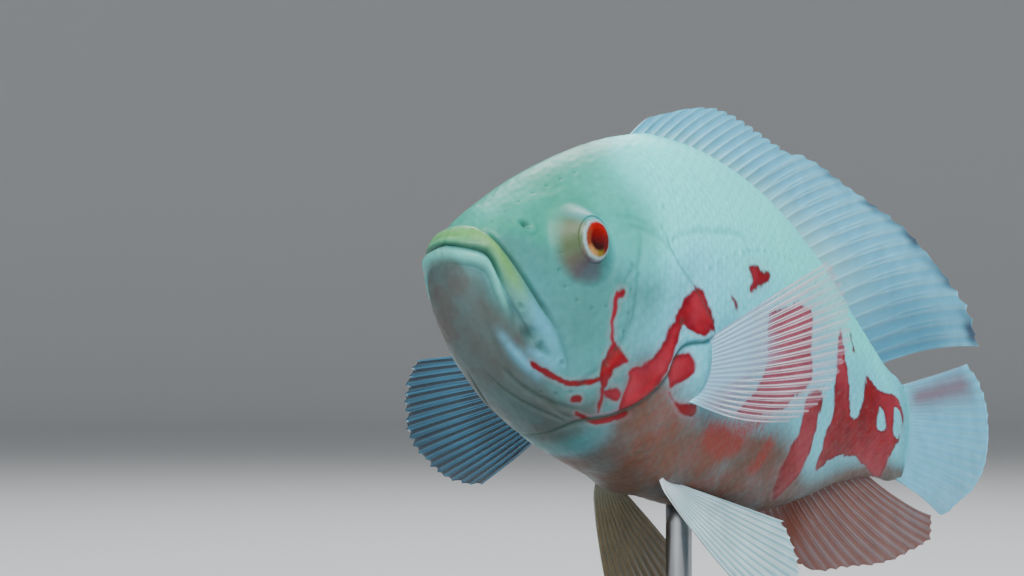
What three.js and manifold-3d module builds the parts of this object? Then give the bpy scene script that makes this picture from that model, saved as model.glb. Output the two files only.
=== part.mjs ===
// An adult oscar (Astronotus ocellatus), white and red, as a still life-size model on a display stand.
// Units are millimetres, +Z up. The fish's head points to -X, so its left side faces -Y.
// The origin is the middle of the stand's underside.
import * as THREE from "three";
import { mergeVertices } from "three/addons/utils/BufferGeometryUtils.js";
import Module from "manifold-3d";

const wasm = await Module();
wasm.setup();

// Driving sizes. A share is a share of the standard length.
const STANDARD_LENGTH = 230; // snout to the root of the tail fin
const GAP = 0.3; // between pieces that touch
const PITCH = THREE.MathUtils.degToRad(15); // nose up
const BANK = THREE.MathUtils.degToRad(5); // left side up
const LEFT = -1;
const RIGHT = 1;

// Where the fish is held: the point of its axis above the stand's middle, and its height
const HOLD_SHARE = 0.47;
const HOLD_HEIGHT = 120;

// The body's profiles, as [share back from the snout, share up or out]
const BACK = [
  [0, 0.01], [0.01, 0.033], [0.04, 0.064], [0.1, 0.119], [0.2, 0.193], [0.3, 0.247],
  [0.38, 0.268], [0.48, 0.275], [0.6, 0.261], [0.73, 0.216], [0.85, 0.148], [0.93, 0.104],
  [1, 0.094],
];
const BELLY = [
  [0, 0.01], [0.006, -0.028], [0.03, -0.078], [0.09, -0.132], [0.18, -0.172], [0.3, -0.195],
  [0.42, -0.202], [0.54, -0.198], [0.65, -0.175], [0.76, -0.13], [0.85, -0.086], [0.92, -0.063],
  [1, -0.06],
];
const HALF_WIDTH = [
  [0, 0], [0.01, 0.034], [0.035, 0.052], [0.09, 0.067], [0.16, 0.081], [0.26, 0.099],
  [0.36, 0.109], [0.46, 0.107], [0.6, 0.091], [0.74, 0.063], [0.86, 0.038], [0.94, 0.024],
  [1, 0.009],
];
const WIDEST_LEVEL = [[0, 0.01], [0.1, -0.006], [0.3, -0.01], [0.5, 0.002], [1, 0.017]];
const BACK_FULLNESS = 1.12; // over 1 is a narrower back
const BELLY_FULLNESS = 0.78; // under 1 is a fuller belly
const TAIL_LEVEL = 0.017; // the middle of the tail root
const PEDUNCLE_START = 0.9;

// The mouth's line runs from the snout's tip round its corner, then on along the jaw
const MOUTH = [
  [0, 0.01], [0.003, 0.007], [0.009, 0.005], [0.019, 0.003], [0.027, 0], [0.033, -0.006],
  [0.045, -0.023], [0.056, -0.036], [0.08, -0.058], [0.112, -0.084], [0.14, -0.11],
];
const MOUTH_GROOVE = { depth: 2.3, width: 0.7, end: [0.048, 0.068] };
const MOUTH_SLANT = 0.8; // distance across the mouth line for each millimetre of height
const LOWER_LIP = { width: 4, height: 1.5, end: [0.045, 0.08] };
const UPPER_LIP = { height: 1.8, end: [0.07, 0.15], inset: 2.5, insetEnd: 0.05, insetHeight: 2 };
// The crease behind the upper lip runs from the snout's midline down the cheek
const LIP_CREASE = [
  [0, 0.03], [0.013, 0.042], [0.023, 0.031], [0.036, 0.022], [0.048, 0.012], [0.065, -0.002],
  [0.083, -0.017], [0.111, -0.04], [0.141, -0.062],
];
const CREASE_GROOVE = { depth: 1.2, width: 0.9, start: [0.01, 0.02], end: [0.11, 0.16] };
const CHIN_CREASE = { depth: 0.5, at: 4.6, width: 0.9 };
const SNOUT_TIP_INSET = 0.9; // the mouth line's end lies this far behind the plain snout

// The eye
const EYE_AT = { share: 0.166, level: 0.049 };
const EYE_RADIUS = 8.4;
const EYE_RISE = 6.8; // the front of the eye above the head's side
const EYE_BACK_TILT = THREE.MathUtils.degToRad(1.5);
const EYE_UP_TILT = THREE.MathUtils.degToRad(12.5);
const EYE_SEGMENTS = 22;
const SOCKET = { radius: 9.1, tube: 1.7, out: 1.1, tubeSegments: 7 };

// The nostril: one round pit on each side of the snout
const NOSTRIL_AT = { share: 0.083, level: 0.053 };
const NOSTRIL_RADIUS = 1.25;

// The gill opening: the edge between head and trunk, from the nape to the throat
const GILL_EDGE = [
  [0.31, 0.32], [0.302, 0.2], [0.301, 0.115], [0.32, 0.074], [0.351, 0.048], [0.38, 0.021],
  [0.399, -0.002], [0.378, -0.018], [0.347, -0.03], [0.331, -0.05], [0.325, -0.075],
  [0.312, -0.098], [0.292, -0.12], [0.258, -0.143], [0.215, -0.162], [0.188, -0.2], [0.175, -0.27],
];
// The front edge of the gill cover, from the top down
const COVER_FRONT = [
  [0.262, 0.092], [0.257, 0.045], [0.256, 0], [0.247, -0.045], [0.228, -0.085], [0.2, -0.118],
];
const COVER_LEVELS = { top: 0.105, bottom: -0.145 };
const COVER_PROUD = 0.9; // above the head round it
const COVER_DEPTH = 1.8; // below the head's plain surface
const COVER_CLEAR = 4; // the head is cut this far above the gill cover
// The lower jaw's edge: along the mouth, then down to the throat
const JAW_EDGE = [
  [-0.03, 0.01], [0, 0.01], [0.009, 0.005], [0.019, 0.003], [0.027, 0], [0.033, -0.006],
  [0.045, -0.023], [0.056, -0.036], [0.08, -0.058], [0.112, -0.084], [0.137, -0.115],
  [0.15, -0.155], [0.16, -0.22],
];
const LINE_POINTS = { gill: 44, cover: 15, jaw: 36 };

// Fins. Lengths are [share of the fin's root line, share of standard length], leans are degrees.
const MEMBRANE = 0.62;
const RAY_AT_ROOT = 1.5;
const RAY_AT_TIP = 0.75;
const FIN_STEPS = 5;
const FIN_SINK = 4; // the rays start this far under the skin
const ROOT_FLARE = 0.12; // share of a ray over which a thicker root fades
const SPINY_NOTCH = 0.75; // how far the membrane falls short between two spines
const SOFT_NOTCH = 0.12;
const DORSAL = {
  from: 0.325, to: 0.93, up: 1, spines: 13, soft: 18, curl: 7, sway: 4,
  length: [
    [0, 0.042], [0.033, 0.069], [0.067, 0.092], [0.1, 0.109], [0.133, 0.119], [0.167, 0.122],
    [0.4, 0.123], [0.433, 0.145], [0.575, 0.193], [0.717, 0.263], [0.858, 0.314], [0.915, 0.322],
    [1, 0.3],
  ],
  lean: [[0, 36], [0.4, 46], [0.433, 47], [1, 63]],
};
const ANAL = {
  from: 0.665, to: 0.92, up: -1, spines: 3, soft: 15, curl: 10, sway: 4,
  length: [
    [0, 0.05], [0.059, 0.073], [0.118, 0.097], [0.176, 0.124], [0.382, 0.164], [0.588, 0.216],
    [0.794, 0.24], [0.835, 0.24], [1, 0.2],
  ],
  lean: [[0, 32], [0.118, 39], [0.176, 44], [1, 76]],
};
const CAUDAL = {
  rays: 17, spread: 15, lift: 8.5, rootHalfHeight: 0.069, sink: 3, sway: 5, rootPad: 1.6,
  length: [[0, 0.155], [0.12, 0.2], [0.3, 0.252], [0.5, 0.278], [0.7, 0.276], [0.88, 0.25], [1, 0.218]],
};
const PAIRED_SINK = 3;
const PECTORAL = {
  at: { share: 0.374, level: -0.062 },
  rays: 14,
  rootPad: 2.2,
  length: [
    [0, 0.222], [0.1, 0.233], [0.25, 0.242], [0.33, 0.243], [0.5, 0.237], [0.75, 0.208],
    [0.9, 0.178], [1, 0.149],
  ],
  rootSpan: { [LEFT]: [-2.5, 0, -17], [RIGHT]: [-2.5, 0, -17] },
  first: { [LEFT]: [0.66, -0.37, 0.63], [RIGHT]: [-0.45, 0.84, 0.02] },
  last: { [LEFT]: [0.9, -0.4, -0.03], [RIGHT]: [-0.13, 0.8, -0.52] },
  cup: { [LEFT]: [3, 3, 2], [RIGHT]: [4, 0, -3] },
};
const PELVIC = {
  at: { share: 0.402, level: -0.19 },
  rays: 6,
  rootPad: 1.8,
  length: [[0, 0.27], [0.5, 0.25], [1, 0.189]],
  rootSpan: { [LEFT]: [8, 3, 0], [RIGHT]: [8, -3, 0] },
  first: { [LEFT]: [0.76, -0.22, -0.62], [RIGHT]: [0.64, 0.27, -0.72] },
  last: { [LEFT]: [0.95, -0.24, -0.1], [RIGHT]: [0.9, 0.2, -0.32] },
  cup: { [LEFT]: [4, 0, 2], [RIGHT]: [4, 0, 2] },
};

// The stand: a flat base with rounded corners and one rod up to the belly
const BASE = { length: 190, width: 110, thickness: 12, corner: 18 };
const ROD_RADIUS = 4;
const COLLAR = { radius: 9, height: 5 };

// How finely the body's surface is drawn: runs of [first, end, step] of the root of the share
const SECTION_RUNS = [[0.018, 0.1, 0.02], [0.118, 0.6, 0.027], [0.6, 0.985, 0.025]];
const UPPER_LIP_COLUMNS = [0.3, 0.65, 1]; // shares of the way from the mouth line to the crease
const CREASE_COLUMN = 1.6; // one more column this far above the crease
const LOWER_LIP_COLUMNS = [1.1, 2.6, 4.3, 6.2]; // distances below the mouth line
const SNOUT_ROOM = { crease: 0.62, top: 0.77, bottom: 0.77 }; // where the snout is too low for them
const COLUMNS_ABOVE_LIPS = 8;
const COLUMNS_BELOW_LIPS = 7;
const LIP_COLUMNS_EASE = [0.12, 0.22]; // the columns even out between these shares
const HALF_DEPTH = 80; // wider than the fish to each side
const COVER_INNER = 6; // the gill covers' cuts stop this far from the middle plane

const material = (colour, roughness, metalness = 0) =>
  new THREE.MeshStandardMaterial({ color: colour, roughness, metalness });
const SKIN = material(0xb4dcd8, 0.45);
const FIN = material(0x9fd0dc, 0.35);
const EYE = material(0xd23a12, 0.15);
const WOOD = material(0x2b2d30, 0.5);
const STEEL = material(0xb9bcc0, 0.3, 1);

const smoothstep = THREE.MathUtils.smoothstep;
const mix = THREE.MathUtils.lerp;
const bell = (x) => Math.exp(-x * x);

// A smooth line through [x, y] points, over the square root of x, so that it is round at x = 0
function profile(points) {
  const xs = points.map(([x]) => Math.sqrt(x));
  const ys = points.map(([, y]) => y);
  const slope = xs.map((x, i) => {
    const a = Math.max(i - 1, 0);
    const b = Math.min(i + 1, xs.length - 1);
    return (ys[b] - ys[a]) / (xs[b] - xs[a]);
  });
  return (share) => {
    const x = Math.min(Math.sqrt(Math.max(share, 0)), xs[xs.length - 1]);
    let i = 0;
    while (i < xs.length - 2 && x > xs[i + 1]) i++;
    const step = xs[i + 1] - xs[i];
    const t = (x - xs[i]) / step;
    const start = ys[i] * (1 + 2 * t) * (1 - t) ** 2 + slope[i] * step * t * (1 - t) ** 2;
    const end = ys[i + 1] * t * t * (3 - 2 * t) + slope[i + 1] * step * t * t * (t - 1);
    return start + end;
  };
}
const back = profile(BACK);
const belly = profile(BELLY);
const halfWidth = profile(HALF_WIDTH);
const widestLevel = profile(WIDEST_LEVEL);
const mouthLevel = profile(MOUTH);
const creaseLine = profile(LIP_CREASE);
const creaseLevel = (share) => Math.min(creaseLine(share), back(share));

// A point of the plain body: angle 0 is the back's midline and PI the belly's
function bodyPoint(share, angle, side) {
  const middle = widestLevel(share);
  const c = Math.cos(angle);
  const reach = c > 0 ? back(share) - middle : middle - belly(share);
  const fullness = mix(BACK_FULLNESS, BELLY_FULLNESS, angle / Math.PI);
  const y = side * halfWidth(share) * Math.pow(Math.max(Math.sin(angle), 0), fullness);
  return new THREE.Vector3(share, y, middle + reach * c).multiplyScalar(STANDARD_LENGTH);
}

// The angle at which a section has this level
function angleOfLevel(share, level) {
  const middle = widestLevel(share);
  const reach = level > middle ? back(share) - middle : middle - belly(share);
  return Math.acos(THREE.MathUtils.clamp((level - middle) / Math.max(reach, 1e-6), -1, 1));
}
const pointAtLevel = ({ share, level }, side) => bodyPoint(share, angleOfLevel(share, level), side);

function bodyNormal(share, angle, side) {
  const nudge = 1e-3;
  const edge = 0.05;
  const safe = THREE.MathUtils.clamp(angle, edge, Math.PI - edge);
  const behind = Math.max(share - nudge, 1e-5);
  const along = bodyPoint(share + nudge, safe, side).sub(bodyPoint(behind, safe, side));
  const round = bodyPoint(share, safe + nudge, side).sub(bodyPoint(share, safe - nudge, side));
  const normal = along.cross(round).multiplyScalar(side).normalize();
  if (angle < edge || angle > Math.PI - edge) normal.setY(0).normalize();
  return normal;
}

// How far the lips stand out of the plain body, and the mouth line and the creases lie in it
const lipSwell = (t) => (t < 1 ? Math.pow(Math.sin(Math.PI * Math.min(0.12 + t * 0.88, 1)), 0.7) : 0);
const fadeOut = (share, [start, end]) => 1 - smoothstep(share, start, end);
function lipOffset(share, point) {
  const mouth = mouthLevel(share) * STANDARD_LENGTH;
  const crease = creaseLevel(share) * STANDARD_LENGTH;
  const height = point.z - mouth;
  const across = Math.abs(height) * MOUTH_SLANT;
  const fromCrease = (point.z - crease) * MOUTH_SLANT;
  const upper = UPPER_LIP.height * lipSwell(height / (crease - mouth)) * fadeOut(share, UPPER_LIP.end);
  const lower = LOWER_LIP.height * lipSwell(across / LOWER_LIP.width);
  const chin = CHIN_CREASE.depth * bell((across - CHIN_CREASE.at) / CHIN_CREASE.width);
  const lip = height > 0 ? upper : (lower - chin) * fadeOut(share, LOWER_LIP.end);
  const groove = MOUTH_GROOVE.depth * bell(across / MOUTH_GROOVE.width) * fadeOut(share, MOUTH_GROOVE.end);
  const creaseFade = smoothstep(share, ...CREASE_GROOVE.start) * fadeOut(share, CREASE_GROOVE.end);
  return lip - groove - CREASE_GROOVE.depth * bell(fromCrease / CREASE_GROOVE.width) * creaseFade;
}
// The upper lip and the snout's tip are set back behind the lower lip
function snoutInset(share, point) {
  const height = point.z - mouthLevel(share) * STANDARD_LENGTH;
  const fade = fadeOut(share, [0, UPPER_LIP.insetEnd]);
  return UPPER_LIP.inset * smoothstep(height, 0, UPPER_LIP.insetHeight) * fade;
}

// The angles of one section's columns: close together at the lips, even elsewhere
function columnAngles(share) {
  const mouth = mouthLevel(Math.min(share, MOUTH[MOUTH.length - 1][0]));
  const headroom = back(share) - mouth;
  const legroom = mouth - belly(share);
  const lowest = LOWER_LIP_COLUMNS[LOWER_LIP_COLUMNS.length - 1] / STANDARD_LENGTH;
  const down = Math.min(1, (legroom * SNOUT_ROOM.bottom) / lowest);
  const crease = Math.min(creaseLevel(share) - mouth, headroom * SNOUT_ROOM.crease);
  const top = Math.min(crease + CREASE_COLUMN / STANDARD_LENGTH, headroom * SNOUT_ROOM.top);
  const above = [...UPPER_LIP_COLUMNS.map((t) => mouth + crease * t), mouth + top].reverse();
  const below = LOWER_LIP_COLUMNS.map((d) => mouth - (d / STANDARD_LENGTH) * down);
  const lips = [...above, mouth, ...below].map((level) => angleOfLevel(share, level));
  const ease = smoothstep(share, ...LIP_COLUMNS_EASE);
  const lipsEnd = COLUMNS_ABOVE_LIPS + lips.length;
  const count = lipsEnd + COLUMNS_BELOW_LIPS;
  return Array.from({ length: count }, (_, k) => {
    const even = (Math.PI * k) / (count - 1);
    if (k < COLUMNS_ABOVE_LIPS) return mix((lips[0] * k) / COLUMNS_ABOVE_LIPS, even, ease);
    if (k < lipsEnd) return mix(lips[k - COLUMNS_ABOVE_LIPS], even, ease);
    const rest = (k - lipsEnd + 1) / COLUMNS_BELOW_LIPS;
    return mix(mix(lips[lips.length - 1], Math.PI, rest), even, ease);
  });
}

// The sections' places, closer at the snout
const SECTIONS = [];
for (const [first, end, step] of SECTION_RUNS)
  for (let root = first; root < end; root += step) SECTIONS.push(root * root);
SECTIONS.push(1);

function geometryOf(positions, faces) {
  const geometry = new THREE.BufferGeometry();
  geometry.setAttribute("position", new THREE.Float32BufferAttribute(positions, 3));
  geometry.setIndex(faces);
  return geometry;
}

// The whole body as one closed surface, grown outwards by some millimetres
function bodySurface(grow = 0, withLips = true) {
  const positions = [];
  const faces = [];
  const push = (p) => positions.push(p.x, p.y, p.z) / 3 - 1;
  const tipInset = withLips ? SNOUT_TIP_INSET : 0;
  const tip = push(new THREE.Vector3(tipInset - grow, 0, BACK[0][1] * STANDARD_LENGTH));
  const rings = SECTIONS.map((share) => {
    const angles = columnAngles(share);
    const place = (angle, side) => {
      const point = bodyPoint(share, angle, side);
      const lift = grow + (withLips ? lipOffset(share, point) : 0);
      const inset = withLips ? snoutInset(share, point) : 0;
      const normal = bodyNormal(share, angle, side);
      return push(point.setX(point.x + inset).addScaledVector(normal, lift));
    };
    const left = angles.map((a) => place(a, LEFT));
    const right = angles.slice(1, -1).reverse().map((a) => place(a, RIGHT));
    return [...left, ...right];
  });
  const n = rings[0].length;
  for (let k = 0; k < n; k++) faces.push(tip, rings[0][(k + 1) % n], rings[0][k]);
  for (let i = 0; i + 1 < rings.length; i++)
    for (let k = 0; k < n; k++) {
      const [a, b] = [rings[i][k], rings[i][(k + 1) % n]];
      const [c, d] = [rings[i + 1][k], rings[i + 1][(k + 1) % n]];
      faces.push(a, b, c, b, d, c);
    }
  const last = rings[rings.length - 1];
  const end = push(new THREE.Vector3(STANDARD_LENGTH + grow, 0, TAIL_LEVEL * STANDARD_LENGTH));
  for (let k = 0; k < n; k++) faces.push(end, last[k], last[(k + 1) % n]);
  return geometryOf(positions, faces);
}

// A closed mesh as a solid for joining and cutting
function solid(geometry, matrix) {
  const plain = geometry.clone();
  for (const name of Object.keys(plain.attributes)) if (name !== "position") plain.deleteAttribute(name);
  if (matrix) plain.applyMatrix4(matrix);
  const merged = mergeVertices(plain, 1e-4);
  const mesh = new wasm.Mesh({
    numProp: 3,
    vertProperties: merged.attributes.position.array,
    triVerts: new Uint32Array(merged.index.array),
  });
  return new wasm.Manifold(mesh);
}

// The largest closed surface of a solid, back as a geometry
function geometryFrom(whole) {
  const pieces = whole.decompose().sort((a, b) => b.volume() - a.volume());
  const mesh = pieces[0].getMesh();
  return geometryOf(Array.from(mesh.vertProperties), Array.from(mesh.triVerts));
}

// A side-view outline in shares, pushed through the fish from one y to another
function slab(outline, from = -HALF_DEPTH, to = HALF_DEPTH) {
  const corners = outline.map(([x, z]) => new THREE.Vector2(x, z).multiplyScalar(STANDARD_LENGTH));
  const geometry = new THREE.ExtrudeGeometry(new THREE.Shape(corners), {
    depth: to - from,
    bevelEnabled: false,
    steps: 1,
  });
  // The shape is drawn in X and Y and grows along Z; turned so that its Y is up and it grows along -Y
  geometry.rotateX(Math.PI / 2).translate(0, to, 0);
  return solid(geometry);
}

// Points along a smooth open line through the given ones
function smoothLine(points, count) {
  const curve = new THREE.SplineCurve(points.map(([x, z]) => new THREE.Vector2(x, z)));
  return curve.getPoints(count).map((p) => [p.x, p.y]);
}

// The same line moved sideways by some millimetres, to its right when walked along
function moved(line, distance, closed = false) {
  const last = line.length - 1;
  const normal = ([ax, az], [bx, bz]) => new THREE.Vector2(bz - az, ax - bx).normalize();
  return line.map((here, i) => {
    const before = i > 0 ? line[i - 1] : closed ? line[last] : null;
    const after = i < last ? line[i + 1] : closed ? line[0] : null;
    const into = before ? normal(before, here) : normal(here, after);
    const out = after ? normal(here, after) : into;
    const middle = into.clone().add(out).normalize();
    const reach = distance / STANDARD_LENGTH / Math.max(middle.dot(into), 0.5);
    return [here[0] + middle.x * reach, here[1] + middle.y * reach];
  });
}

const gillEdge = smoothLine(GILL_EDGE, LINE_POINTS.gill);
const coverFront = smoothLine(COVER_FRONT, LINE_POINTS.cover);
const jawEdge = smoothLine(JAW_EDGE, LINE_POINTS.jaw);

// Everything ahead of the gill opening, below the mouth line, and behind the peduncle's start
const headRegion = (shift) => slab([[-0.2, 0.4], ...moved(gillEdge, shift), [-0.2, -0.4]].reverse());
const jawRegion = (shift) => slab([[-0.03, -0.3], ...moved(jawEdge, shift), [0.16, -0.3]].reverse());
function tailRegion(shift) {
  const start = PEDUNCLE_START + shift / STANDARD_LENGTH;
  return slab([[start, -0.4], [1.3, -0.4], [1.3, 0.4], [start, 0.4]]);
}

// The eye as a turned solid: a low dome whose axis is its line of sight
function eyePlace(side) {
  const outwards = side * Math.cos(EYE_BACK_TILT) * Math.cos(EYE_UP_TILT);
  const sight = new THREE.Vector3(Math.sin(EYE_BACK_TILT), outwards, Math.sin(EYE_UP_TILT)).normalize();
  const turn = new THREE.Quaternion().setFromUnitVectors(new THREE.Vector3(0, 1, 0), sight);
  return new THREE.Matrix4().compose(pointAtLevel(EYE_AT, side), turn, new THREE.Vector3(1, 1, 1));
}
function eyeShape(side, grow = 0) {
  const steps = 10;
  const outline = [];
  for (let i = 0; i <= steps; i++) {
    const a = -Math.PI / 2 + (i * Math.PI) / steps;
    const rise = a > 0 ? EYE_RISE + grow : EYE_RADIUS + grow;
    const radius = i % steps ? (EYE_RADIUS + grow) * Math.cos(a) : 0;
    outline.push(new THREE.Vector2(radius, rise * Math.sin(a)));
  }
  return solid(new THREE.LatheGeometry(outline, EYE_SEGMENTS), eyePlace(side));
}
// The raised skin round the eye
function socket(side) {
  const ring = new THREE.TorusGeometry(SOCKET.radius, SOCKET.tube, SOCKET.tubeSegments, EYE_SEGMENTS);
  ring.rotateX(Math.PI / 2).translate(0, SOCKET.out, 0);
  return solid(ring, eyePlace(side));
}

function nostril(side) {
  const pit = new THREE.SphereGeometry(NOSTRIL_RADIUS, 8, 6);
  return solid(pit, new THREE.Matrix4().setPosition(pointAtLevel(NOSTRIL_AT, side)));
}

// Gill covers: plates let into the head, standing a little proud of the flank behind them
function coverRegion(side, shift) {
  const inRange = ([, z]) => z < COVER_LEVELS.top && z > COVER_LEVELS.bottom;
  const rear = moved(gillEdge, GAP / 2).filter(inRange);
  const outline = moved([...coverFront, ...rear.reverse()], shift, true).reverse();
  return side === LEFT ? slab(outline, -HALF_DEPTH, -COVER_INNER) : slab(outline, COVER_INNER, HALF_DEPTH);
}
function plate(outside, inside) {
  return solid(bodySurface(outside, false)).subtract(solid(bodySurface(inside, false)));
}
const coverPlate = plate(COVER_PROUD, -COVER_DEPTH);
const coverRoom = plate(COVER_PROUD + COVER_CLEAR, -COVER_DEPTH - GAP);
const finClearance = plate(COVER_PROUD + GAP, -COVER_DEPTH);

// The body, parted into head, jaw, trunk and tail root
const wholeBody = solid(bodySurface());
let head = wholeBody.intersect(headRegion(GAP / 2));
for (const side of [LEFT, RIGHT]) {
  head = head.add(socket(side)).subtract(eyeShape(side, GAP)).subtract(nostril(side));
  head = head.subtract(coverRoom.intersect(coverRegion(side, GAP)));
}
const jaw = head.intersect(jawRegion(GAP / 2));
head = head.subtract(jawRegion(-GAP / 2));
const behindHead = wholeBody.subtract(headRegion(-GAP / 2));
const trunk = behindHead.subtract(tailRegion(-GAP / 2));
const tailRoot = behindHead.intersect(tailRegion(GAP / 2));

// A fin is one closed sheet whose rays are ridges in its own surface.
// rays[i][j] is the point at step j of ray i; a membrane column lies half way between two rays.
function finColumns(rays, notch) {
  const columns = [];
  rays.forEach((ray, i) => {
    if (i > 0) {
      const web = ray.map((p, j) => p.clone().add(rays[i - 1][j]).multiplyScalar(0.5));
      const last = web.length - 1;
      web[last].lerp(web[last - 1], notch(i - 1));
      columns.push({ points: web, ridge: false });
    }
    columns.push({ points: ray, ridge: true });
  });
  return columns;
}
function finSheet(rays, { notch = () => 0, rootPad = 1 } = {}) {
  const columns = finColumns(rays, notch);
  const steps = rays[0].length;
  const lastColumn = columns.length - 1;
  const at = (c, j) => columns[c].points[j];
  const thickness = (c, j) => {
    const t = j / (steps - 1);
    const pad = 1 + (rootPad - 1) * Math.exp(-t / ROOT_FLARE);
    return (columns[c].ridge ? mix(RAY_AT_ROOT, RAY_AT_TIP, t) : MEMBRANE) * pad;
  };
  const positions = [];
  for (const face of [1, -1])
    for (let c = 0; c <= lastColumn; c++)
      for (let j = 0; j < steps; j++) {
        const across = at(Math.min(c + 1, lastColumn), j).clone().sub(at(Math.max(c - 1, 0), j));
        const along = at(c, Math.min(j + 1, steps - 1)).clone().sub(at(c, Math.max(j - 1, 0)));
        const normal = across.cross(along).normalize();
        const p = at(c, j).clone().addScaledVector(normal, (face * thickness(c, j)) / 2);
        positions.push(p.x, p.y, p.z);
      }
  const id = (face, c, j) => (face * columns.length + c) * steps + j;
  const faces = [];
  for (let c = 0; c < lastColumn; c++)
    for (let j = 0; j + 1 < steps; j++)
      for (const face of [0, 1]) {
        const [a, b] = [id(face, c, j), id(face, c + 1, j)];
        const [d, e] = [id(face, c + 1, j + 1), id(face, c, j + 1)];
        if (face === 0) faces.push(a, b, d, a, d, e);
        else faces.push(a, d, b, a, e, d);
      }
  const rim = [];
  for (let c = 0; c <= lastColumn; c++) rim.push([c, 0]);
  for (let j = 1; j < steps; j++) rim.push([lastColumn, j]);
  for (let c = lastColumn - 1; c >= 0; c--) rim.push([c, steps - 1]);
  for (let j = steps - 2; j > 0; j--) rim.push([0, j]);
  rim.forEach(([c, j], i) => {
    const [c2, j2] = rim[(i + 1) % rim.length];
    faces.push(id(0, c, j), id(1, c, j), id(1, c2, j2));
    faces.push(id(0, c, j), id(1, c2, j2), id(0, c2, j2));
  });
  return geometryOf(positions, faces);
}

// The rays of a fin on the fish's middle plane: they lean back, and bend further back near their tips
function medianRays({ from, to, up, spines, soft, curl, sway, length, lean }) {
  const count = spines + soft;
  const lengthAt = profile(length);
  const leanAt = profile(lean);
  return Array.from({ length: count }, (_, i) => {
    const t = i / (count - 1);
    const share = mix(from, to, t);
    const rise = up > 0 ? back(share) : belly(share);
    const start = new THREE.Vector3(share, 0, rise).multiplyScalar(STANDARD_LENGTH);
    const sideways = (sway * Math.max(i - spines, 0)) / (soft - 1);
    return Array.from({ length: FIN_STEPS + 1 }, (_, j) => {
      const s = j / FIN_STEPS;
      const angle = THREE.MathUtils.degToRad(leanAt(t) + curl * s);
      const run = s * (lengthAt(t) * STANDARD_LENGTH + FIN_SINK) - FIN_SINK;
      const z = start.z + up * Math.cos(angle) * run;
      return new THREE.Vector3(start.x + Math.sin(angle) * run, sideways * s * s, z);
    });
  });
}

// The tail fin: a rounded fan, half closed
function caudalRays({ rays, spread, lift, length, rootHalfHeight, sink, sway }) {
  const lengthAt = profile(length);
  return Array.from({ length: rays }, (_, i) => {
    const t = i / (rays - 1);
    const upwards = 2 * t - 1;
    const angle = THREE.MathUtils.degToRad(spread * upwards + lift);
    const reach = lengthAt(t) * STANDARD_LENGTH;
    const level = (TAIL_LEVEL + rootHalfHeight * upwards) * STANDARD_LENGTH;
    return Array.from({ length: FIN_STEPS + 1 }, (_, j) => {
      const s = j / FIN_STEPS;
      const x = STANDARD_LENGTH - sink + Math.cos(angle) * reach * s;
      return new THREE.Vector3(x, sway * s * s, level + Math.sin(angle) * reach * s);
    });
  });
}

// A paired fin: rays fan out in the plane of two directions, and cup towards a third
function pairedRays({ at, rays, length, rootSpan, first, last, cup }, side) {
  const lengthAt = profile(length);
  const vector = (value) => new THREE.Vector3(...value[side]);
  return Array.from({ length: rays }, (_, i) => {
    const t = i / (rays - 1);
    const direction = vector(first).lerp(vector(last), t).normalize();
    const start = pointAtLevel(at, side).addScaledVector(vector(rootSpan), t - 0.5);
    return Array.from({ length: FIN_STEPS + 1 }, (_, j) => {
      const s = j / FIN_STEPS;
      const run = s * (lengthAt(t) * STANDARD_LENGTH + PAIRED_SINK) - PAIRED_SINK;
      return start.clone().addScaledVector(direction, run).addScaledVector(vector(cup), s * s);
    });
  });
}

// The fins are cut back to the skin, with the gap between
const rootRoom = solid(bodySurface(GAP));
const rooted = (sheet) => geometryFrom(solid(sheet).subtract(rootRoom));
function medianFin(fin) {
  const notch = (i) => (i < fin.spines ? SPINY_NOTCH : SOFT_NOTCH);
  return rooted(finSheet(medianRays(fin), { notch }));
}
function pairedFin(fin, side) {
  const sheet = solid(finSheet(pairedRays(fin, side), { rootPad: fin.rootPad }));
  const cover = finClearance.intersect(coverRegion(side, GAP));
  return geometryFrom(sheet.subtract(rootRoom).subtract(cover));
}

// The fish's own group is placed by one matrix: banked, pitched and lifted onto the stand
const fish = new THREE.Group();
const bank = new THREE.Matrix4().makeRotationX(-BANK);
const turn = new THREE.Matrix4().makeRotationY(PITCH).multiply(bank);
const holdPoint = new THREE.Vector3(HOLD_SHARE * STANDARD_LENGTH, 0, 0).applyMatrix4(turn);
fish.quaternion.setFromRotationMatrix(turn);
fish.position.set(0, 0, HOLD_HEIGHT).sub(holdPoint);
fish.updateMatrix();

function standBase() {
  const [x, y, r] = [BASE.length / 2, BASE.width / 2, BASE.corner];
  const quarter = Math.PI / 2;
  const shape = new THREE.Shape();
  shape.moveTo(x - r, -y);
  shape.absarc(x - r, -y + r, r, -quarter, 0);
  shape.absarc(x - r, y - r, r, 0, quarter);
  shape.absarc(-x + r, y - r, r, quarter, 2 * quarter);
  shape.absarc(-x + r, -y + r, r, 2 * quarter, 3 * quarter);
  return new THREE.ExtrudeGeometry(shape, {
    depth: BASE.thickness,
    bevelEnabled: false,
    curveSegments: 6,
  });
}
function standRod() {
  const from = BASE.thickness + GAP;
  const rod = new THREE.CylinderGeometry(ROD_RADIUS, ROD_RADIUS, HOLD_HEIGHT - from, 20);
  rod.rotateX(Math.PI / 2).translate(0, 0, (HOLD_HEIGHT + from) / 2);
  const collar = new THREE.CylinderGeometry(COLLAR.radius, COLLAR.radius, COLLAR.height, 28);
  collar.rotateX(Math.PI / 2).translate(0, 0, from + COLLAR.height / 2);
  return geometryFrom(solid(rod).add(solid(collar)).subtract(solid(bodySurface(GAP), fish.matrix)));
}

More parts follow.
